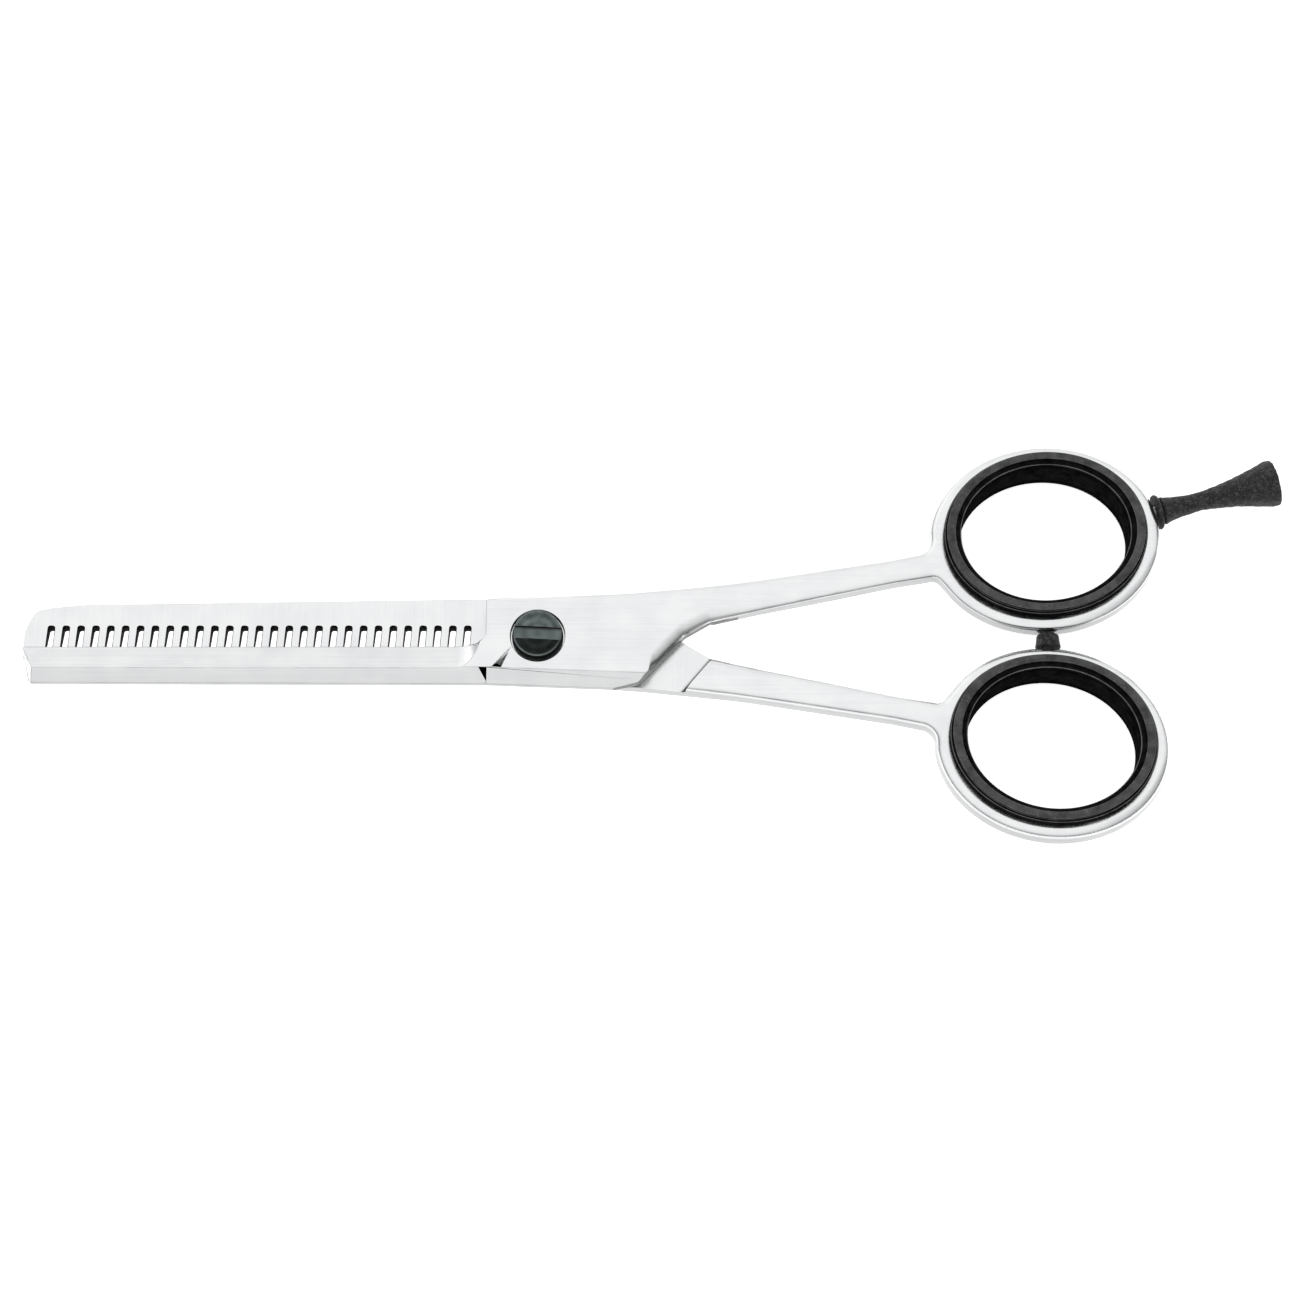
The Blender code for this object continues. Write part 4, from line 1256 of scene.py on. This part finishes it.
# Near black for the slot walls of the comb and the screw: painted shade.
SLOT_PAINTED_SHADE = rubber(
    "slot_painted_shade",
    (0.002, 0.002, 0.002),
    (0.010, 0.010, 0.010),
    (0.60, 0.80),
    0.0009,
    0.000008,
    shine=0.08,
)
RING_RUBBER = rubber(
    "ring_rubber",
    (0.022, 0.022, 0.023),
    (0.115, 0.115, 0.117),
    (0.36, 0.58),
    0.0016,
    0.00003,
)
BUMPER_RUBBER = rubber(
    "bumper_rubber",
    (0.005, 0.005, 0.005),
    (0.16, 0.16, 0.16),
    (0.45, 0.72),
    0.0007,
    0.00010,
    glint_share=0.5,
    start=0.44,
)
REST_RUBBER = rubber(
    "rest_rubber",
    (0.004, 0.004, 0.004),
    (0.14, 0.14, 0.14),
    (0.45, 0.75),
    0.0006,
    0.00014,
    glint_share=0.75,
    start=0.48,
)
NYLON = nylon("white_nylon")


# Studio.


def make_floor():
    bpy.ops.object.select_all(action="DESELECT")
    bpy.ops.mesh.primitive_plane_add(size=4.0)
    floor = bpy.context.object
    floor.name = "studio_floor"
    paper = new_finish("white_paper", (0.93, 0.93, 0.93), 0.9, 0.0)
    shader = paper.node_tree.nodes["Principled BSDF"]
    shader.inputs["Specular IOR Level"].default_value = 0.1
    shader.inputs["Emission Color"].default_value = (1.0, 1.0, 1.0, 1.0)
    shader.inputs["Emission Strength"].default_value = 0.72
    floor.data.materials.append(paper)


def make_sky():
    """A white tent: bright overhead and behind, with a grey skirt low down on the other sides."""
    world = bpy.data.worlds.new("white_tent")
    bpy.context.scene.world = world
    world.use_nodes = True
    nodes = world.node_tree.nodes
    links = world.node_tree.links
    where = nodes.new("ShaderNodeTexCoord")
    parts = nodes.new("ShaderNodeSeparateXYZ")
    height_ramp = nodes.new("ShaderNodeValToRGB")
    wall_ramp = nodes.new("ShaderNodeValToRGB")
    end_ramp = nodes.new("ShaderNodeValToRGB")
    end_limit = nodes.new("ShaderNodeValToRGB")
    set_ramp(height_ramp, [(0.0, 0.20), (0.16, 0.32), (0.36, 0.68), (0.52, 0.92), (0.80, 1.0)])
    set_ramp(wall_ramp, [(0.55, 0.0), (0.85, 0.92)])
    set_ramp(end_ramp, [(0.20, 1.0), (0.75, 0.60)])
    set_ramp(end_limit, [(0.0, 0.0), (0.20, 1.0)])
    links.new(where.outputs["Generated"], parts.inputs["Vector"])
    links.new(parts.outputs["Z"], height_ramp.inputs["Fac"])
    links.new(parts.outputs["Y"], wall_ramp.inputs["Fac"])
    links.new(parts.outputs["X"], end_ramp.inputs["Fac"])
    links.new(parts.outputs["Y"], end_limit.inputs["Fac"])
    walls = mix_light(world, "LIGHTEN", height_ramp.outputs["Color"], wall_ramp.outputs["Color"])
    end = mix_light(world, "LIGHTEN", end_ramp.outputs["Color"], end_limit.outputs["Color"])
    links.new(mix_light(world, "MULTIPLY", walls, end), nodes["Background"].inputs["Color"])
    nodes["Background"].inputs["Strength"].default_value = 1.0


def mix_light(world, kind, first, second):
    node = world.node_tree.nodes.new("ShaderNodeMix")
    node.data_type = "RGBA"
    node.blend_type = kind
    node.inputs["Factor"].default_value = 1.0
    world.node_tree.links.new(first, node.inputs["A"])
    world.node_tree.links.new(second, node.inputs["B"])
    return node.outputs["Result"]


def set_ramp(ramp, stops):
    elements = ramp.color_ramp.elements
    while len(elements) < len(stops):
        elements.new(0.5)
    for element, (place, level) in zip(elements, stops):
        element.position = place
        element.color = (level, level, level, 1.0)


def make_light(name, place, size, power, aim):
    bpy.ops.object.light_add(type="AREA", location=place)
    light = bpy.context.object
    light.name = name
    light.data.shape = "SQUARE"
    light.data.size = size
    light.data.energy = power
    light.rotation_euler = (Vector(aim) - Vector(place)).to_track_quat("-Z", "Y").to_euler()


def make_camera():
    """A long lens that looks down on the shears from in front."""
    elevation = math.radians(70.0)
    distance = 0.5225
    aim = Vector((0.0162, -0.00125, MATE_Z))
    back = Vector((0.0, -math.cos(elevation), math.sin(elevation)))
    bpy.ops.object.camera_add(location=aim + back * distance)
    camera = bpy.context.object
    camera.rotation_euler = (math.pi / 2.0 - elevation, 0.0, 0.0)
    camera.data.lens = 100.0
    camera.data.sensor_width = 36.0
    camera.data.clip_start = 0.01
    camera.data.clip_end = 20.0
    bpy.context.scene.camera = camera


make_plain_half()
make_comb_half()
make_pivot_screw()
make_tension_washer()
make_glide_washer()
make_pivot_nut()
make_insert("plain_ring_rubber", "plain_ring_insert", "plain_side", RAISED)
make_insert("comb_ring_rubber", "comb_ring_insert", "comb_side", TURNED_OVER)
make_bumper()
make_finger_rest()
make_floor()
make_sky()
make_light("soft_side", (-0.7, 0.9, 0.6), 0.9, 0.5, (0.0, 0.0, 0.0))
make_camera()
bpy.context.scene.view_settings.view_transform = "Standard"
